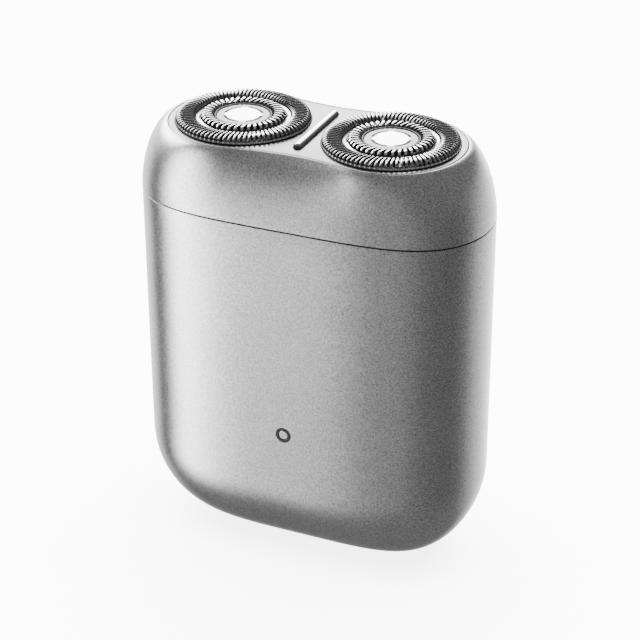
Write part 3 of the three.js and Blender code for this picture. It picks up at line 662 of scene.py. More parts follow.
@dataclass
class Form:
    """The shaver's outer form: a superellipse plan that turns into two lobes at the top."""

    width: float
    depth: float
    plate_top: float
    half: float  # from the middle to a head's axis
    lobe: float  # radius of the top outline's lobes
    wall: float = 1.4
    edge: float = 0.04  # radius of both rims at the joint
    waist_pinch: float = 1.85  # how much less deep the top outline is at its middle
    base_trim: float = 1.8  # cut off the rounded bottom for the shaver to stand on
    bottom_round_x: float = 20.5
    bottom_round_y: float = 18.0
    plan_power_x: float = 4.23
    plan_power_y: float = 2.08
    shoulder: float = 12.1  # height over which the plan turns into the top outline
    shoulder_power: float = 1.72
    spread: float = 0.8  # under 1, it moves points round the form out towards its ends
    columns: int = 288

    def waisted_depth(self, x: np.ndarray, inset: np.ndarray) -> np.ndarray:
        """Half depth of the top outline at x.

        Out on a lobe it is the circle's height over its own centre. Between the lobes it is a
        hollow arc that touches both circles and passes the waist.

        Args:
            x: distance from the middle, not negative.
            inset: how far the outline is moved in.

        Returns:
            The half depth.
        """
        lobe = self.lobe - inset
        waist = lobe - self.waist_pinch
        hollow = (self.half**2 + waist**2 - lobe**2) / (2 * (lobe - waist))
        joint = self.half * hollow / (lobe + hollow)
        on_lobe = np.sqrt(np.maximum(lobe**2 - (x - self.half) ** 2, 0))
        on_waist = waist + hollow - np.sqrt(np.maximum(hollow**2 - x**2, 0))
        return np.where(x > joint, on_lobe, on_waist)

    def rings(self, levels: Sequence[float], insets: Union[float, Sequence[float]] = 0.0,
              top: bool = False) -> Grid:
        """Rings of points round the form.

        The bottom draws width and depth in along quarter circles. The plan is the superellipse
        y = D (1 - (x/W)^p)^(1/q), and over the shoulder it blends into the waisted outline.

        Args:
            levels: the rings' heights.
            insets: how far each ring is moved in.
            top: whether every ring has the waisted outline of the top.

        Returns:
            Points shaped (levels, columns, 3).
        """
        z = np.asarray(levels, float)[:, None]
        inset = np.broadcast_to(np.asarray(insets, float), len(levels))[:, None]
        up = z + self.base_trim

        def drop(reach: float) -> np.ndarray:
            """How far the bottom rounding draws a side in at each level."""
            return (reach - inset) * round_off((reach - up) / (reach - inset), 2)

        half_width = self.width / 2 - inset - drop(self.bottom_round_x)
        half_depth = self.depth / 2 - inset - drop(self.bottom_round_y)
        rise = (z - self.plate_top + self.shoulder) / (self.shoulder - inset)
        blend = np.ones_like(z) if top else round_off(rise, self.shoulder_power)
        end = self.half + self.lobe - inset
        angle = np.linspace(0, 2 * np.pi, self.columns, endpoint=False)[None]
        along = np.abs(np.cos(angle)) ** self.spread
        reach_x = half_width + (end - half_width) * blend
        body = half_depth * np.maximum(1 - along**self.plan_power_x, 0) ** (1 / self.plan_power_y)
        lobes = self.waisted_depth(along * end, inset)
        x = np.sign(np.cos(angle)) * along * reach_x
        y = np.sign(np.round(np.sin(angle), 9)) * (body + (lobes - body) * blend)
        return np.stack([x, y, z + 0 * x], axis=-1)

    @staticmethod
    def capped(rings: Grid) -> Grid:
        """Adds a middle point, as a ring of its own, at both ends of a stack of rings."""
        ends = [np.broadcast_to([0, 0, ring[0, 2]], ring.shape)[None] for ring in (rings[0], rings[-1])]
        return np.concatenate([ends[0], rings, ends[1]])

    def slab(self, name: str, low: float, high: float, inset: float, edge: float) -> Piece:
        """A flat plate of the top outline with rounded upper and lower edges.

        Args:
            name: the piece's name.
            low: height of its lower face.
            high: height of its upper face.
            inset: how far its outline is moved in.
            edge: radius of its edges.

        Returns:
            The piece.
        """
        turn = arc(0, 90, 5)
        rise, draw = edge * (1 - np.cos(turn)), edge * (1 - np.sin(turn))
        levels = np.concatenate([low + rise, high - rise[::-1]])
        insets = inset + np.concatenate([draw, draw[::-1]])
        return Skin().add(self.capped(self.rings(levels, insets, top=True))).piece(name)


def measured_form() -> Form:
    """The form with its main sizes read from the frame.

    Returns:
        The form.
    """
    body, plate = span("body_shell"), span("top_plate")
    half = span("foil_right").middle[0]
    return Form(
        width=body.size[0],
        depth=body.size[1],
        plate_top=plate.high[2],
        half=half,
        lobe=plate.high[0] - half + PLATE_MARGIN,
    )


# ---- The case ------------------------------------------------------------------------------


@dataclass
class BodyCase:
    """The lower half of the case with its port, rear button and front indicator."""

    form: Form
    floor: float = 1.8
    bottom_rows: int = 44
    inside_rows: int = 24
    port_gap: float = 0.15  # round the port
    button_gap: float = 0.16  # round the button
    button_flange: float = 0.9  # how far the button's flange goes out past its face
    button_step: float = 0.6  # thickness of that flange
    button_round: float = 0.35
    button_dish: float = 0.22
    ring_overlap: float = 0.03  # of the case over the edge of the indicator ring's node
    ring_inset: float = 0.07  # from that edge to the ring
    ring_width: float = 0.54
    core_inset: float = 0.1  # from the edge of the core's node

    def levels(self, start: float, rim: float, rows: int) -> np.ndarray:
        """Heights from a start to the rim, closest together at the bottom.

        They follow start + span (1 - cos t) up the bottom rounding, then even steps.

        Args:
            start: the first height.
            rim: the last height.
            rows: rows on the bottom rounding.

        Returns:
            The heights.
        """
        top = self.form.bottom_round_x - self.form.base_trim
        bottom = start + (top - start) * (1 - np.cos(arc(0, 90, rows)))
        return np.concatenate([bottom, np.linspace(top, rim, 14)[1:]])

    def build_shell(self) -> Piece:
        """The shell: the outer form, a rounded rim and the same form moved in by the wall.

        Returns:
            The shell.
        """
        form, rim = self.form, span("body_shell").high[2]
        turn = arc(0, 90, 5)[1:]
        outer = self.levels(0, rim - form.edge, self.bottom_rows)
        lip, lip_inset = rim - form.edge * (1 - np.sin(turn)), form.edge * (1 - np.cos(turn))
        inner = self.levels(self.floor, rim, self.inside_rows)[::-1]
        levels = np.concatenate([outer, lip, inner])
        insets = np.concatenate([0 * outer, lip_inset, np.full(len(inner), form.wall)])
        stock = Skin().add(form.capped(form.rings(levels, insets))).piece("case_body")
        button, ring, port = (span(node) for node in ("power_button", "indicator_ring", "usb_port"))
        reach, through = form.depth / 2, 2 * form.wall
        return carve(
            stock,
            cylinder("cut_button", self.button_radius() + self.button_gap, reach - through, reach + CLEAR,
                     (0, 0, button.middle[2]), True),
            cylinder("cut_ring", ring.size[0] / 2 - self.ring_overlap, -reach - CLEAR, through - reach,
                     (0, 0, ring.middle[2]), True),
            prism("cut_port", pill(*(port.size[:2] + 2 * self.port_gap)), -CLEAR, self.floor + CLEAR),
        )

    def button_radius(self) -> float:
        """Radius of the part of the button that shows, inside its flange."""
        return span("power_button").size[0] / 2 - self.button_flange

    def build_button(self) -> Piece:
        """The button: a flange, a rounded rim and a slightly dished face, turned about Y.

        Returns:
            The button.
        """
        box, radius, rounding = span("power_button"), self.button_radius(), self.button_round
        flange, face, back = box.size[0] / 2, box.high[1], box.low[1]
        step, turn, inward = back + self.button_step, arc(0, 90, 5), np.linspace(1, 0, 10)
        rim = np.array([radius, face]) + rounding * (np.stack([np.cos(turn), np.sin(turn)], axis=-1) - 1)
        bowl = np.stack([(radius - rounding) * inward,
                         face - self.button_dish * (1 - inward**2) ** 2], axis=-1)
        profile = np.concatenate([[[0, back], [flange, back], [flange, step], [radius, step]], rim, bowl[1:]])
        return Skin().add(lathe(profile, 96, (0, 0, box.middle[2]), True)).piece("button_face")

    def build_ring(self) -> Piece:
        """The indicator's ring: a flat annulus with bevelled edges, flush with the front.

        Returns:
            The ring.
        """
        box, bevel = span("indicator_ring"), 0.05
        front, back = box.low[1], box.high[1]
        outer = box.size[0] / 2 - self.ring_inset
        inner = outer - self.ring_width
        profile = np.array([
            [inner, front + bevel], [inner + bevel, front], [outer - bevel, front], [outer, front + bevel],
            [outer, back], [inner, back],
        ])
        ring = lathe(profile, 64, (0, 0, box.middle[2]), True)
        return Skin().add(ring, closes_rows=True).piece("indicator_bezel")

    def build_core(self) -> Piece:
        """The middle of the indicator: a disc with a bevelled edge in the case's own finish.

        Returns:
            The disc.
        """
        box, bevel = span("indicator_core"), 0.08
        front, back = box.low[1], box.high[1]
        radius = box.size[0] / 2 - self.core_inset
        profile = np.array([
            [0, front], [radius - bevel, front], [radius, front + bevel], [radius, back], [0, back],
        ])
        return Skin().add(lathe(profile, 64, (0, 0, box.middle[2]), True)).piece("indicator_middle")

    def build(self) -> list[Piece]:
        """Builds and dresses the pieces, and ties each to its body and node.

        Returns:
            The pieces.
        """
        return [
            settle(self.build_shell(), SILVER, "body", "body_shell"),
            settle(self.build_button(), SILVER, "button", "power_button"),
            settle(self.build_ring(), GLOSS_BLACK, "body", "indicator_ring"),
            settle(self.build_core(), SILVER, "body", "indicator_core"),
        ]


def settle(piece: Piece, finish: Finish, body: str, node: str) -> Piece:
    """Dresses a piece and ties it to the frame.

    Args:
        piece: the piece.
        finish: its finish.
        body: the body that it rides on.
        node: the node that it stands for.

    Returns:
        The piece.
    """
    dress(piece, finish)
    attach(piece, body)
    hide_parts(node)
    return piece


@dataclass
class HeadCase:
    """The upper half of the case with the plate that frames the heads and the bar on it."""

    form: Form
    lip: float = 0.1  # radius of the shell's edge at the plate
    seat_gap: float = 0.3  # under the plate, and over the foils' flange
    collar_gap: float = 0.35  # between the collar inside and the foils
    plate_gap: float = 0.15  # round the plate
    plate_round: float = 0.22
    hole_gap: float = 0.2  # round the foils
    hole_round: float = 0.07
    slot_gap: float = 0.14  # round the bar
    slot_drop: float = 0.12  # of the slot's floor below the bar
    slot_shadow_gap: float = 0.02  # on both sides of the painted slot shadow
    slot_shadow_drop: float = 0.1  # of the painted slot shadow below the plate, and below the bar
    bar_round: float = 0.7  # length of the bar's round ends
    bar_tip: float = 0.35  # share of its crown's height that is left at the very ends
    bar_unshaded: tuple[float, float] = (-0.5, 0.85)  # where the bar is left without painted shade, in shares of half its width
    bar_shaded_tip: float = 0.35  # length of its front tip in painted shade
    shoulder_rows: int = 56
    inside_rows: int = 24

    BRIDGE = 3.9  # between the two foils

    def build_shell(self) -> Piece:
        """The shell: a rounded rim, the shoulder, a lip at the plate and the collar inside.

        Shoulder heights follow top - S (1 - sin t), so they close up towards the plate.

        Returns:
            The shell.
        """
        form, low, top = self.form, span("head_shell").low[2], self.form.plate_top
        seat_top = span("top_plate").low[2] - self.seat_gap
        seat_bottom = span("foil_left").low[2] + FOIL_FLANGE + self.seat_gap
        seat_inset = form.lobe - self.foil_radius() - self.collar_gap
        turn = arc(0, 90, 5)[:-1]
        rim, rim_inset = low + form.edge * (1 - np.cos(turn)), form.edge * (1 - np.sin(turn))
        shoulder = top - form.shoulder * (1 - np.sin(arc(0, 90, self.shoulder_rows)))
        outer = form.rings(np.concatenate([rim, shoulder]), [*rim_inset, *(0 * shoulder)])
        lip = form.rings([top - 0.2 * self.lip, top - 0.7 * self.lip, seat_top, seat_top, seat_bottom],
                         [0.3 * self.lip, 0.6 * self.lip, 0.6 * self.lip, seat_inset, seat_inset], top=True)
        inner = form.rings(np.linspace(seat_bottom, low, self.inside_rows), form.wall)
        return Skin().add(np.concatenate([outer, lip, inner]), closes_rows=True).piece("case_head")

    @classmethod
    def foil_radius(cls) -> float:
        """Radius of a foil's skirt: half the head spacing less half the bridge between heads."""
        return (span("foil_right").low[0] - span("foil_left").low[0] - cls.BRIDGE) / 2

    def build_plate(self) -> Piece:
        """The plate: the waisted outline with a rounded edge, two openings and the bar's slot.

        Returns:
            The plate.
        """
        low, high = span("top_plate").low[2], span("top_plate").high[2]
        stock = self.form.slab("head_plate", low, high, self.plate_gap, self.plate_round)
        holes = [
            cylinder(f"cut_{side}", self.foil_radius() + self.hole_gap, low - CLEAR, high + CLEAR,
                     (sign * self.form.half, 0, 0), facets=192)
            for side, sign in zip(SIDES, (-1, 1))
        ]
        slot_floor = span("trim_bar").low[2] - self.slot_drop
        slot = prism("cut_slot", self.bar_outline(self.slot_gap), slot_floor, high + CLEAR)
        plate = carve(stock, *holes, slot)
        bevel = plate.modifiers.new("edges", "BEVEL")
        bevel.width = self.hole_round * MM
        bevel.segments = 2
        bevel.limit_method = "ANGLE"
        bevel.angle_limit = math.radians(50)
        return plate

    @staticmethod
    def bar_outline(gap: float) -> np.ndarray:
        """The outline round the bar, which lies along Y, at a gap from its sides."""
        width, length = span("trim_bar").size[:2] + 2 * gap
        return pill(length, width)[:, ::-1] * (1, -1)

    def build_slot_shadow(self) -> Piece:
        """A dark sheet, painted as the shadow in the slot that the bar stands in.

        Returns:
            The painted shadow.
        """
        bottom, top = span("trim_bar").low[2] - self.slot_shadow_drop, self.form.plate_top - self.slot_shadow_drop
        stock = prism("bar_seat", self.bar_outline(self.slot_gap - self.slot_shadow_gap), bottom, top)
        return carve(stock, prism("cut_bar", self.bar_outline(self.slot_shadow_gap), bottom - CLEAR, top + CLEAR))

    def build_bar(self) -> Piece:
        """The bar: a flattened half-round section that shrinks towards both ends.

        A section point at angle t is (w cos t, foot + h sqrt(sin t)). As s goes from 0 to 1 over
        an end, k = sqrt(1 - s^2) scales the width, and T + (1 - T) k the height, where T is the
        share left at the tip.

        Returns:
            The bar.
        """
        box, end = span("trim_bar"), self.bar_round
        reach, half_width = box.high[1], box.size[0] / 2
        tip = 1 - np.cos(arc(0, 90, 12))
        y = np.concatenate([-reach + end * tip, np.linspace(end - reach, reach - end, 12)[1:-1],
                            (reach - end * tip)[::-1]])[:, None]
        scale = np.sqrt(1 - np.clip((np.abs(y) - (reach - end)) / end, 0, 1) ** 2)
        turn = arc(0, 180, 21)[None]
        foot = self.form.plate_top
        crown = (box.high[2] - foot) * np.sqrt(np.sin(turn)) * (self.bar_tip + (1 - self.bar_tip) * scale)
        rows = np.stack([half_width * np.cos(turn) * scale, y + 0 * crown, foot + crown], axis=-1)
        feet = rows[:, [-1, 0]].copy()
        feet[..., 2] = box.low[2]
        grid = np.concatenate([rows, feet], axis=1)
        # Painted shade on the bar's edges, its front tip and its feet; unshaded in between.
        place, (start, stop) = grid[..., 0] / half_width, self.bar_unshaded
        bright = (place > start) & (place < stop) & (y > self.bar_shaded_tip - reach)
        bright[:, -2:] = False
        return Skin().add(grid, shade_and_tone_share=bright.astype(float)).piece("trim_rod")

    def build(self) -> list[Piece]:
        """Builds and dresses the pieces, and ties each to its body and node.

        Returns:
            The pieces.
        """
        return [
            settle(self.build_shell(), SILVER, "head", "head_shell"),
            settle(self.build_plate(), PLATE, "head", "top_plate"),
            settle(self.build_bar(), CHROME, "head", "trim_bar"),
            settle(self.build_slot_shadow(), SLOT_SHADOW, "head", "trim_bar"),
        ]


# ---- The cutter heads ----------------------------------------------------------------------


@dataclass
class CutterHead:
    """One rotary head: a foil with two rings of slots, its skirt, and the cap in its middle."""

    side: str
    plate_top: float
    radius: float  # of the skirt
    crown: float = 1.3  # height of both rings above the plate
    outer_fins: int = 84
    inner_fins: int = 40
    slant: float = 1.75  # distance at which a fin's line passes the axis
    fin_share: float = 0.48  # of the pitch that a fin takes
    fin_depth: float = 0.45
    fin_round: float = 0.0755  # how far a fin's top falls to its sides
    shade_low: float = 0.95  # heights between which a fin's outside turns from painted shade to unshaded
    shade_high: float = 1.1
    shade_inside: tuple[float, float] = (0.75, 1.05)  # and the like distances from the cap, within which painted shade lies by the cap
    outer_climb: tuple[float, float] = (1.35, 0.72)  # width and height of the outer ring's round outside
    outer_fall: float = 1.15  # width of its round inside
    inner_climb: float = 0.7
    inner_fall: tuple[float, float] = (1.15, 0.6)
    groove_low: float = 7.3  # radii of the groove's sides
    groove_high: float = 8.0
    groove_height: float = 0.25
    groove_reach: float = 0.35  # how far the groove's ring goes in under the fins
    groove_depth: float = 0.3
    foot_height: float = 0.32
    foot_flare: float = 0.1
    skirt_wall: float = 0.5
    rim_low: float = 0.42  # of the rim's top under the crown
    cap_groove: float = 0.69  # share of the cap's radius
    cap_dip: tuple[float, float] = (0.07, 0.04)  # depth of that groove, and its width as such a share
    cap_round: tuple[float, float] = (0.22, 0.05)  # the same of the rounded edge
    cap_dome: float = 0.1
    # Bearing of the first land, half its width, and how far from its middle the arc is full, in degrees.
    lands: tuple[float, float, float] = (21, 9, 12)
    arc_width: float = 0.056  # half the width of the arcs of painted shade in the groove, as such a share
    ring_tone: float = 0.13  # tone of the cap outside its groove
    centre: float = field(init=False)
    cap_radius: float = field(init=False)

    def __post_init__(self) -> None:
        """Reads the head's place and the cap's radius from the frame."""
        cap = span(f"foil_cap_{self.side}")
        self.centre, self.cap_radius = cap.middle[0], cap.size[0] / 2

    def outer_section(self) -> np.ndarray:
        """Section of the outer ring of fins, from its foot outside to the groove inside.

        It goes up the skirt, over a quarter ellipse to the flat crown, and down a second
        ellipse to the groove's edge.

        Returns:
            Points shaped (n, 2), radius and height above the plate.
        """
        edge, foot, (width, height) = self.radius, self.foot_height, self.outer_climb
        outside, inside = arc(0, 90, 6), arc(90, 180, 5)
        over = np.stack([edge - width * (1 - np.cos(outside)),
                         self.crown - height * (1 - np.sin(outside))], axis=-1)
        inner_edge = self.groove_high + 0.02
        crown_edge = self.groove_high + self.outer_fall
        fall = np.stack([crown_edge + (crown_edge - inner_edge) * np.cos(inside),
                         self.groove_height + (self.crown - self.groove_height) * np.sin(inside)], axis=-1)
        foot = [[edge + self.foot_flare, foot - 0.1], [edge + 0.04, foot + 0.08], [edge, foot + 0.17]]
        return np.concatenate([foot, over, fall])

    def inner_section(self) -> np.ndarray:
        """Section of the inner ring of fins: up from the groove, and down to the rim round the cap.

        Returns:
            Points shaped (n, 2), radius and height above the plate.
        """
        outer_edge, inner_edge = self.groove_low - 0.02, self.cap_radius + 0.2
        outside, inside = arc(0, 90, 7), arc(90, 165, 5)
        width, height = self.inner_fall
        climb = np.stack([outer_edge - self.inner_climb * (1 - np.cos(outside)),
                          self.groove_height + (self.crown - self.groove_height) * np.sin(outside)], axis=-1)
        drop = np.stack([inner_edge + width * (1 + np.cos(inside)),
                         self.crown - height * (1 - np.sin(inside))], axis=-1)
        return np.concatenate([climb, drop])

    def painted_fin_shade(self, section: np.ndarray, low: float) -> np.ndarray:
        """Painted shade on each corner of a fin: dark down its flanks and by the cap, unshaded on top.

        Args:
            section: points shaped (n, 2), radius and height above the plate.
            low: height below which the outside is in painted shade, down to the unshaded foot.

        Returns:
            Shares shaped (n, 7).
        """
        radius, height = section.T
        near, far = self.shade_inside
        rise = np.clip((height - low) / (self.shade_high - self.shade_low), 0, 1)
        out = np.clip((radius - self.cap_radius - near) / (far - near), 0, 1)
        is_foot = (height < self.foot_height + 0.1) & (radius > self.radius - 0.05)
        # Painted shade down both flanks of every fin.
        across = np.array([0, 0.3, 1, 1, 1, 0.3, 0])
        return np.where(is_foot, 1.0, rise * out)[:, None] * across

    def fins(self, section: np.ndarray, count: int) -> Grid:
        """A ring of fins carried along a section.

        Each fin's line passes the axis at the slant distance c, so at radius r it stands at
        a + asin(c / r) and leans clockwise going out. It is as wide as its share of the pitch
        there. Its top falls to both sides with the square of the distance from its middle, and
        its underside is the same section moved in along the section's normal.

        Args:
            section: points shaped (n, 2), radius and height above the plate.
            count: number of fins.

        Returns:
            Points shaped (count, n, 7, 3).
        """
        along = np.gradient(section, axis=0)
        normal = np.stack([along[:, 1], -along[:, 0]], axis=-1)
        normal /= np.linalg.norm(normal, axis=-1, keepdims=True)
        inward = -normal * np.sign(normal[len(normal) // 2, 1])
        start = 2 * np.pi * np.arange(count) / count
        lean = np.arcsin(self.slant / section[:, 0])
        half_width = np.pi * self.fin_share / count
        across = np.array([-0.8, -1, -0.55, 0, 0.55, 1, 0.8])
        depth = np.where(np.arange(7) % 6 == 0, self.fin_depth, self.fin_round * across**2)
        angle = start[:, None, None] + lean[None, :, None] + half_width * across[None, None]
        corners = (section[:, None] + depth[None, :, None] * inward[:, None])[None]
        radius, height = corners[..., 0], corners[..., 1]
        return np.stack([
            self.centre + radius * np.cos(angle),
            radius * np.sin(angle),
            self.plate_top + height + 0 * angle,
        ], axis=-1)

    @staticmethod
    def closed(rows: np.ndarray, axis: int) -> np.ndarray:
        """Repeats the mean of the first and the last row at either end, which closes a fin.

        Args:
            rows: points or shares of a ring of fins.
            axis: the axis along which they follow the section.

        Returns:
            The rows with both ends added.
        """
        first, last = (np.take(rows, [i], axis) for i in (0, -1))
        ends = [np.broadcast_to(end.mean(axis=axis + 1, keepdims=True), end.shape) for end in (first, last)]
        return np.concatenate([ends[0], rows, ends[1]], axis=axis)

    def skirt(self) -> Grid:
        """The foot ring, the skirt and the flange under the plate, turned round the head's axis.

        Returns:
            Points shaped (n, facets, 3).
        """
        box = span(f"foil_{self.side}")
        base, flange = box.low[2] - self.plate_top, box.size[0] / 2
        edge, foot = self.radius, self.foot_height
        inner, ledge = edge - self.skirt_wall, base + FOIL_FLANGE
        profile = np.array([
            [inner, foot - 0.1], [edge - 0.1, foot], [edge + 0.06, foot - 0.04], [edge + 0.12, foot - 0.16],
            [edge + 0.06, 0.02], [edge, -0.1], [edge, ledge], [flange - 0.1, ledge], [flange, ledge - 0.1],
            [flange, base + 0.1], [flange - 0.1, base], [inner, base],
        ])
        return lathe(profile, 168, (self.centre, 0, self.plate_top))

    def groove(self) -> Grid:
        """The smooth ring between the two rings of fins: a shallow channel with round edges.

        Returns:
            Points shaped (n, facets, 3).
        """
        low, high, floor, reach = self.groove_low, self.groove_high, self.groove_height, self.groove_reach
        half = [[low - reach, floor + 0.12], [low - 0.05, floor + 0.16], [low + 0.12, floor + 0.03],
                [low + 0.35, floor - 0.03]]
        mirrored = [[low + high - radius, height] for radius, height in half[::-1]]
        bottom = floor - self.groove_depth
        profile = np.array([*half, *mirrored, [high + reach, bottom], [low - reach, bottom]])
        return lathe(profile, 144, (self.centre, 0, self.plate_top))

    def rim(self) -> Grid:
        """The thin ring that holds the inner fins, round the cap.

        Returns:
            Points shaped (n, facets, 3).
        """
        inner, outer, bevel = self.cap_radius + 0.03, self.cap_radius + 0.3, 0.05
        top, bottom = self.crown - self.rim_low, self.crown - self.rim_low - 0.6
        profile = np.array([
            [inner, top - bevel], [inner + bevel, top], [outer - bevel, top], [outer, top - bevel],
            [outer, bottom], [inner, bottom],
        ])
        return lathe(profile, 96, (self.centre, 0, self.plate_top))

    def build_fins(self) -> Piece:
        """Both rings of fins.

        Returns:
            The fins.
        """
        skin = Skin()
        rings = (
            (self.outer_section(), self.outer_fins, self.shade_low),
            (self.inner_section(), self.inner_fins, self.shade_low - 0.1),
        )
        for section, count, low in rings:
            painted_fin_shade = self.closed(self.painted_fin_shade(section, low), 0)
            skin.add(self.closed(self.fins(section, count), 1), shade_and_tone_share=painted_fin_shade)
        return skin.piece(f"slotted_foil_{self.side}")

    def build_skirt(self) -> Piece:
        """The skirt that goes down into the head, and the rim round the cap, in steel darkened as painted
        shade.
        """
        skin = Skin().add(self.skirt(), closes_rows=True).add(self.rim(), closes_rows=True)
        return skin.piece(f"foil_skirt_{self.side}")

    def build_groove(self) -> Piece:
        """The floor of the groove between the rings of fins."""
        return Skin().add(self.groove(), closes_rows=True).piece(f"foil_groove_{self.side}")

    def build_cap(self) -> Piece:
        """The cap as a height field over polar coordinates.

        The height falls with the square of the radius, rounds off at the edge, and dips by
        exp(-((r - g) / w)^2) along a groove that four lands break. The tone is bright inside the
        groove, lower outside it, and in painted shade in its arcs.

        Returns:
            The cap.
        """
        box, facets = span(f"foil_cap_{self.side}"), 288
        (dip_depth, dip_width), (round_depth, round_width) = self.cap_dip, self.cap_round
        land, land_end, arc_start = self.lands
        rows = ((0, 0.56, 8), (0.6, 0.78, 22), (0.82, 1, 12))  # closest together at the groove
        share = np.concatenate([np.linspace(*run) for run in rows])[:, None]
        turn = np.linspace(0, 2 * np.pi, facets, endpoint=False)[None]
        away = np.abs((np.degrees(turn) - land + 45) % 90 - 45)
        in_arc = np.clip((away - land_end) / (arc_start - land_end), 0, 1)
        dip = dip_depth * in_arc * np.exp(-(((share - self.cap_groove) / dip_width) ** 2))
        edge = round_depth * (1 - np.sqrt(1 - np.clip((share - 1 + round_width) / round_width, 0, 1) ** 2))
        height = box.high[2] - self.cap_dome * share**2 - dip - edge
        tone = np.where(share < self.cap_groove, 1.0, self.ring_tone)
        # Painted shade in the arcs of the groove.
        tone = tone * (1 - in_arc * (np.abs(share - self.cap_groove) < self.arc_width))
        radius = self.cap_radius * share
        upper = np.stack([self.centre + radius * np.cos(turn), radius * np.sin(turn), height], axis=-1)
        underside = np.array([(self.cap_radius, box.low[2]), (0, box.low[2])])
        lower = lathe(underside, facets, (self.centre, 0, 0))
        tone = np.concatenate([tone, np.ones(lower.shape[:2])])
        return Skin().add(np.concatenate([upper, lower]), shade_and_tone_share=tone).piece(f"foil_middle_{self.side}")

    def build(self) -> list[Piece]:
        """Builds and dresses the pieces, and ties each to its body and node.

        Returns:
            The pieces.
        """
        body, foil, cap = f"{self.side}_foil", f"foil_{self.side}", f"foil_cap_{self.side}"
        return [
            settle(self.build_fins(), EDGE_STEEL, body, foil),
            settle(self.build_skirt(), SKIRT_SHADE, body, foil),
            settle(self.build_groove(), RING_STEEL, body, foil),
            settle(self.build_cap(), cap_finish(self.side, self.centre), body, cap),
        ]


# ---- What the case holds -------------------------------------------------------------------


class Interior:
    """The finishes of the nodes inside, which keep the frame's own shapes."""

    FINISHES = {
        "deck": GREY_PLASTIC, "spindle_seal": RUBBER, "deck_screw": PLAIN_STEEL, "body_magnet": NICKEL,
        "gear_plate": ZINC, "gear_pin": PLAIN_STEEL, "motor_can": ZINC, "motor_end_cap": BLACK_PLASTIC,
        "chassis": BLACK_PLASTIC, "battery": CELL_WRAP, "battery_tab": NICKEL, "main_board": BOARD,
        "control_chip": BLACK_PLASTIC, "tact_switch": GREY_PLASTIC, "button_seal": RUBBER, "led": LENS,
        "led_board": BOARD, "usb_port": PLAIN_STEEL, "usb_tongue": BLACK_PLASTIC, "usb_board": BOARD,
        "motor_shaft": PLAIN_STEEL, "motor_pinion": BRASS, "drive_gear": NYLON, "spindle_spring": PLAIN_STEEL,
        "spindle": BLACK_PLASTIC, "retaining_frame": BLACK_PLASTIC, "head_magnet": NICKEL,
        "blade": SHADED_BLADE_STEEL, "blade_carrier": BLACK_PLASTIC,
    }

    @staticmethod
    def stem(node: str) -> str:
        """A node's name without its side or end.

        Args:
            node: the node's name.

        Returns:
            The name that its finish is listed under.
        """
        for ending in (*SIDES, *ENDS):
            node = node.removesuffix(f"_{ending}")
        return node

    def build(self) -> list[Piece]:
        """Gives every node that still shows its finish.

        Returns:
            The nodes.
        """
        shown = [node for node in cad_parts.values() if not node.hide_render]
        for node in shown:
            dress(node, self.FINISHES[self.stem(node.name)])
        return shown


# ---- Studio --------------------------------------------------------------------------------


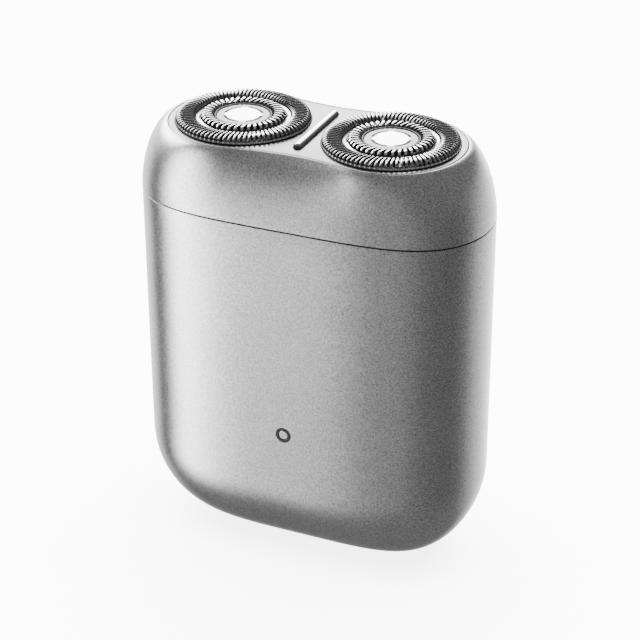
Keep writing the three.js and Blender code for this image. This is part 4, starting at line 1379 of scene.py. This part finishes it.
@dataclass
class Studio:
    """A pale floor, soft light all round and the camera."""

    azimuth: float = 23.586
    elevation: float = 28.224
    roll: float = -0.227
    distance: float = 350.4
    target: tuple[float, float, float] = (0.535, 0.0, 42.42)
    lens: float = 111.97
    floor_reach: float = 3.0  # metres
    backdrop: float = 18.0
    # Brightness round the horizon: bearing from the front towards +X in degrees, and level.
    horizon: tuple[tuple[float, float], ...] = (
        (-180, 5.0), (-155, 2.4), (-125, 2.6), (-102, 1.2), (-92, 0.04), (-68, 0.04), (-60, 5.5), (-50, 10.0),
        (-40, 5.6), (-32, 2.7), (-26, 0.85), (-20, 0.38), (-8, 0.38), (5, 0.4), (18, 0.29), (35, 0.18),
        (60, 0.14), (85, 0.13), (110, 0.26), (140, 1.1), (160, 2.0), (180, 5.0),
    )
    band_low: tuple[float, float] = (-0.8, -0.5)  # heights between which that light comes in
    band_high: tuple[float, float] = (-0.15, 0.15)  # and between which it goes out again
    shade: float = 0.2  # level below and above it
    sheet: float = 12.0  # level of the sheet at the back
    sheet_way: tuple[float, float, float] = (-0.87, 0.49, 0.0)  # direction that it stands in
    sheet_side: tuple[float, float] = (0.42, 0.66)  # share of that direction at which it comes in
    sheet_low: tuple[float, float] = (0.1, 0.25)
    sheet_high: tuple[float, float] = (0.52, 0.72)
    overhead: tuple[float, float, float] = (0.0, 0.15, 0.9)  # metres
    overhead_side: float = 1.4  # metres
    overhead_aim: float = 0.04  # height that it points at, in metres
    overhead_watts: float = 110.0

    def build_camera(self) -> None:
        """Places the camera on a sphere round its target and turns it by its roll."""
        turn, rise = math.radians(self.azimuth), math.radians(self.elevation)
        back = Vector((math.sin(turn) * math.cos(rise), -math.cos(turn) * math.cos(rise), math.sin(rise)))
        data = bpy.data.cameras.new("camera")
        data.lens = self.lens
        data.sensor_width = 36
        data.clip_start, data.clip_end = 0.01, 20
        camera = bpy.data.objects.new("camera", data)
        camera.rotation_mode = "QUATERNION"
        camera.location = (Vector(self.target) + back * self.distance) * MM
        aim = (-back).to_track_quat("-Z", "Y").to_matrix()
        camera.rotation_quaternion = (aim @ Matrix.Rotation(math.radians(self.roll), 3, "Z")).to_quaternion()
        bpy.context.scene.collection.objects.link(camera)
        bpy.context.scene.camera = camera

    def build_floor(self) -> None:
        """A wide flat disc that glows a little and stays out of the reflections."""
        reach, depth = self.floor_reach / MM, 5
        profile = np.array([[0, 0], [reach, 0], [reach, -depth], [0, -depth]])
        floor = Skin().add(lathe(profile, 64, (0, 0, 0))).piece("studio_floor")
        dress(floor, FLOOR)
        floor.visible_glossy = False

    def build_world(self) -> None:
        """Soft light from all round.

        In a band round the horizon its level follows the bearing, and it goes over to shade
        below and above. A wide bright sheet stands over the horizon at the back.
        """
        world = bpy.data.worlds.new("studio_world")
        bpy.context.scene.world = world
        graph = Graph(world)
        where = graph.node("ShaderNodeTexCoord", output="Generated")
        turned = graph.node("ShaderNodeMapping", None, {"Vector": where, "Rotation": (0, 0, math.pi / 2)})
        radial = {"gradient_type": "RADIAL"}
        bearing = graph.node("ShaderNodeTexGradient", radial, {"Vector": turned}, output=1)
        brightest = max(level for _, level in self.horizon)
        stops = [(angle / 360 + 0.5, level / brightest) for angle, level in self.horizon]
        around = graph.node("ShaderNodeValToRGB", {"stops": stops}, {"Fac": bearing})
        height = graph.node("ShaderNodeSeparateXYZ", None, {"Vector": where}, output="Z")
        band = height.step(*self.band_low) * (1 - height.step(*self.band_high))
        low = graph.node("ShaderNodeRGBToBW", None, {"Color": around}) * brightest
        inputs = {0: where, 1: self.sheet_way}
        facing = graph.node("ShaderNodeVectorMath", {"operation": "DOT_PRODUCT"}, inputs, output="Value")
        upright = height.step(*self.sheet_low) * (1 - height.step(*self.sheet_high))
        sheet = facing.step(*self.sheet_side) * upright * self.sheet
        level = low * band + self.shade * (1 - band) + sheet
        light = graph.node("ShaderNodeBackground", None, {"Color": (1, 1, 1, 1), "Strength": level})
        shown = graph.node("ShaderNodeBackground", None, {"Color": (1, 1, 1, 1), "Strength": self.backdrop})
        seen = graph.node("ShaderNodeLightPath", output="Is Camera Ray")
        both = graph.node("ShaderNodeMixShader", None, {0: seen, 1: light, 2: shown})
        graph.node("ShaderNodeOutputWorld", None, {"Surface": both})

    def build_overhead(self) -> None:
        """A square soft light over the shaver, aimed at its middle."""
        data = bpy.data.lights.new("overhead", "AREA")
        data.size = self.overhead_side
        data.energy = self.overhead_watts
        light = bpy.data.objects.new("overhead", data)
        aim = Vector((0, 0, self.overhead_aim)) - Vector(self.overhead)
        light.location = self.overhead
        light.rotation_mode = "QUATERNION"
        light.rotation_quaternion = aim.to_track_quat("-Z", "Y")
        light.visible_glossy = False
        bpy.context.scene.collection.objects.link(light)

    def build(self) -> None:
        """Builds the studio."""
        self.build_camera()
        self.build_floor()
        self.build_world()
        self.build_overhead()


# ---- Building ------------------------------------------------------------------------------


def main() -> None:
    """Builds the studio and the shaver's pieces in order."""
    logging.basicConfig(level=logging.INFO, format="%(name)s: %(message)s")
    form = measured_form()
    Studio().build()
    radius = HeadCase.foil_radius()
    assemblies = [
        BodyCase(form),
        HeadCase(form),
        *(CutterHead(side, form.plate_top, radius) for side in SIDES),
        Interior(),
    ]
    for assembly in assemblies:
        for piece in assembly.build():
            log.info("%s: %d faces", piece.name, len(piece.data.polygons))


if __name__ == "__main__":
    main()
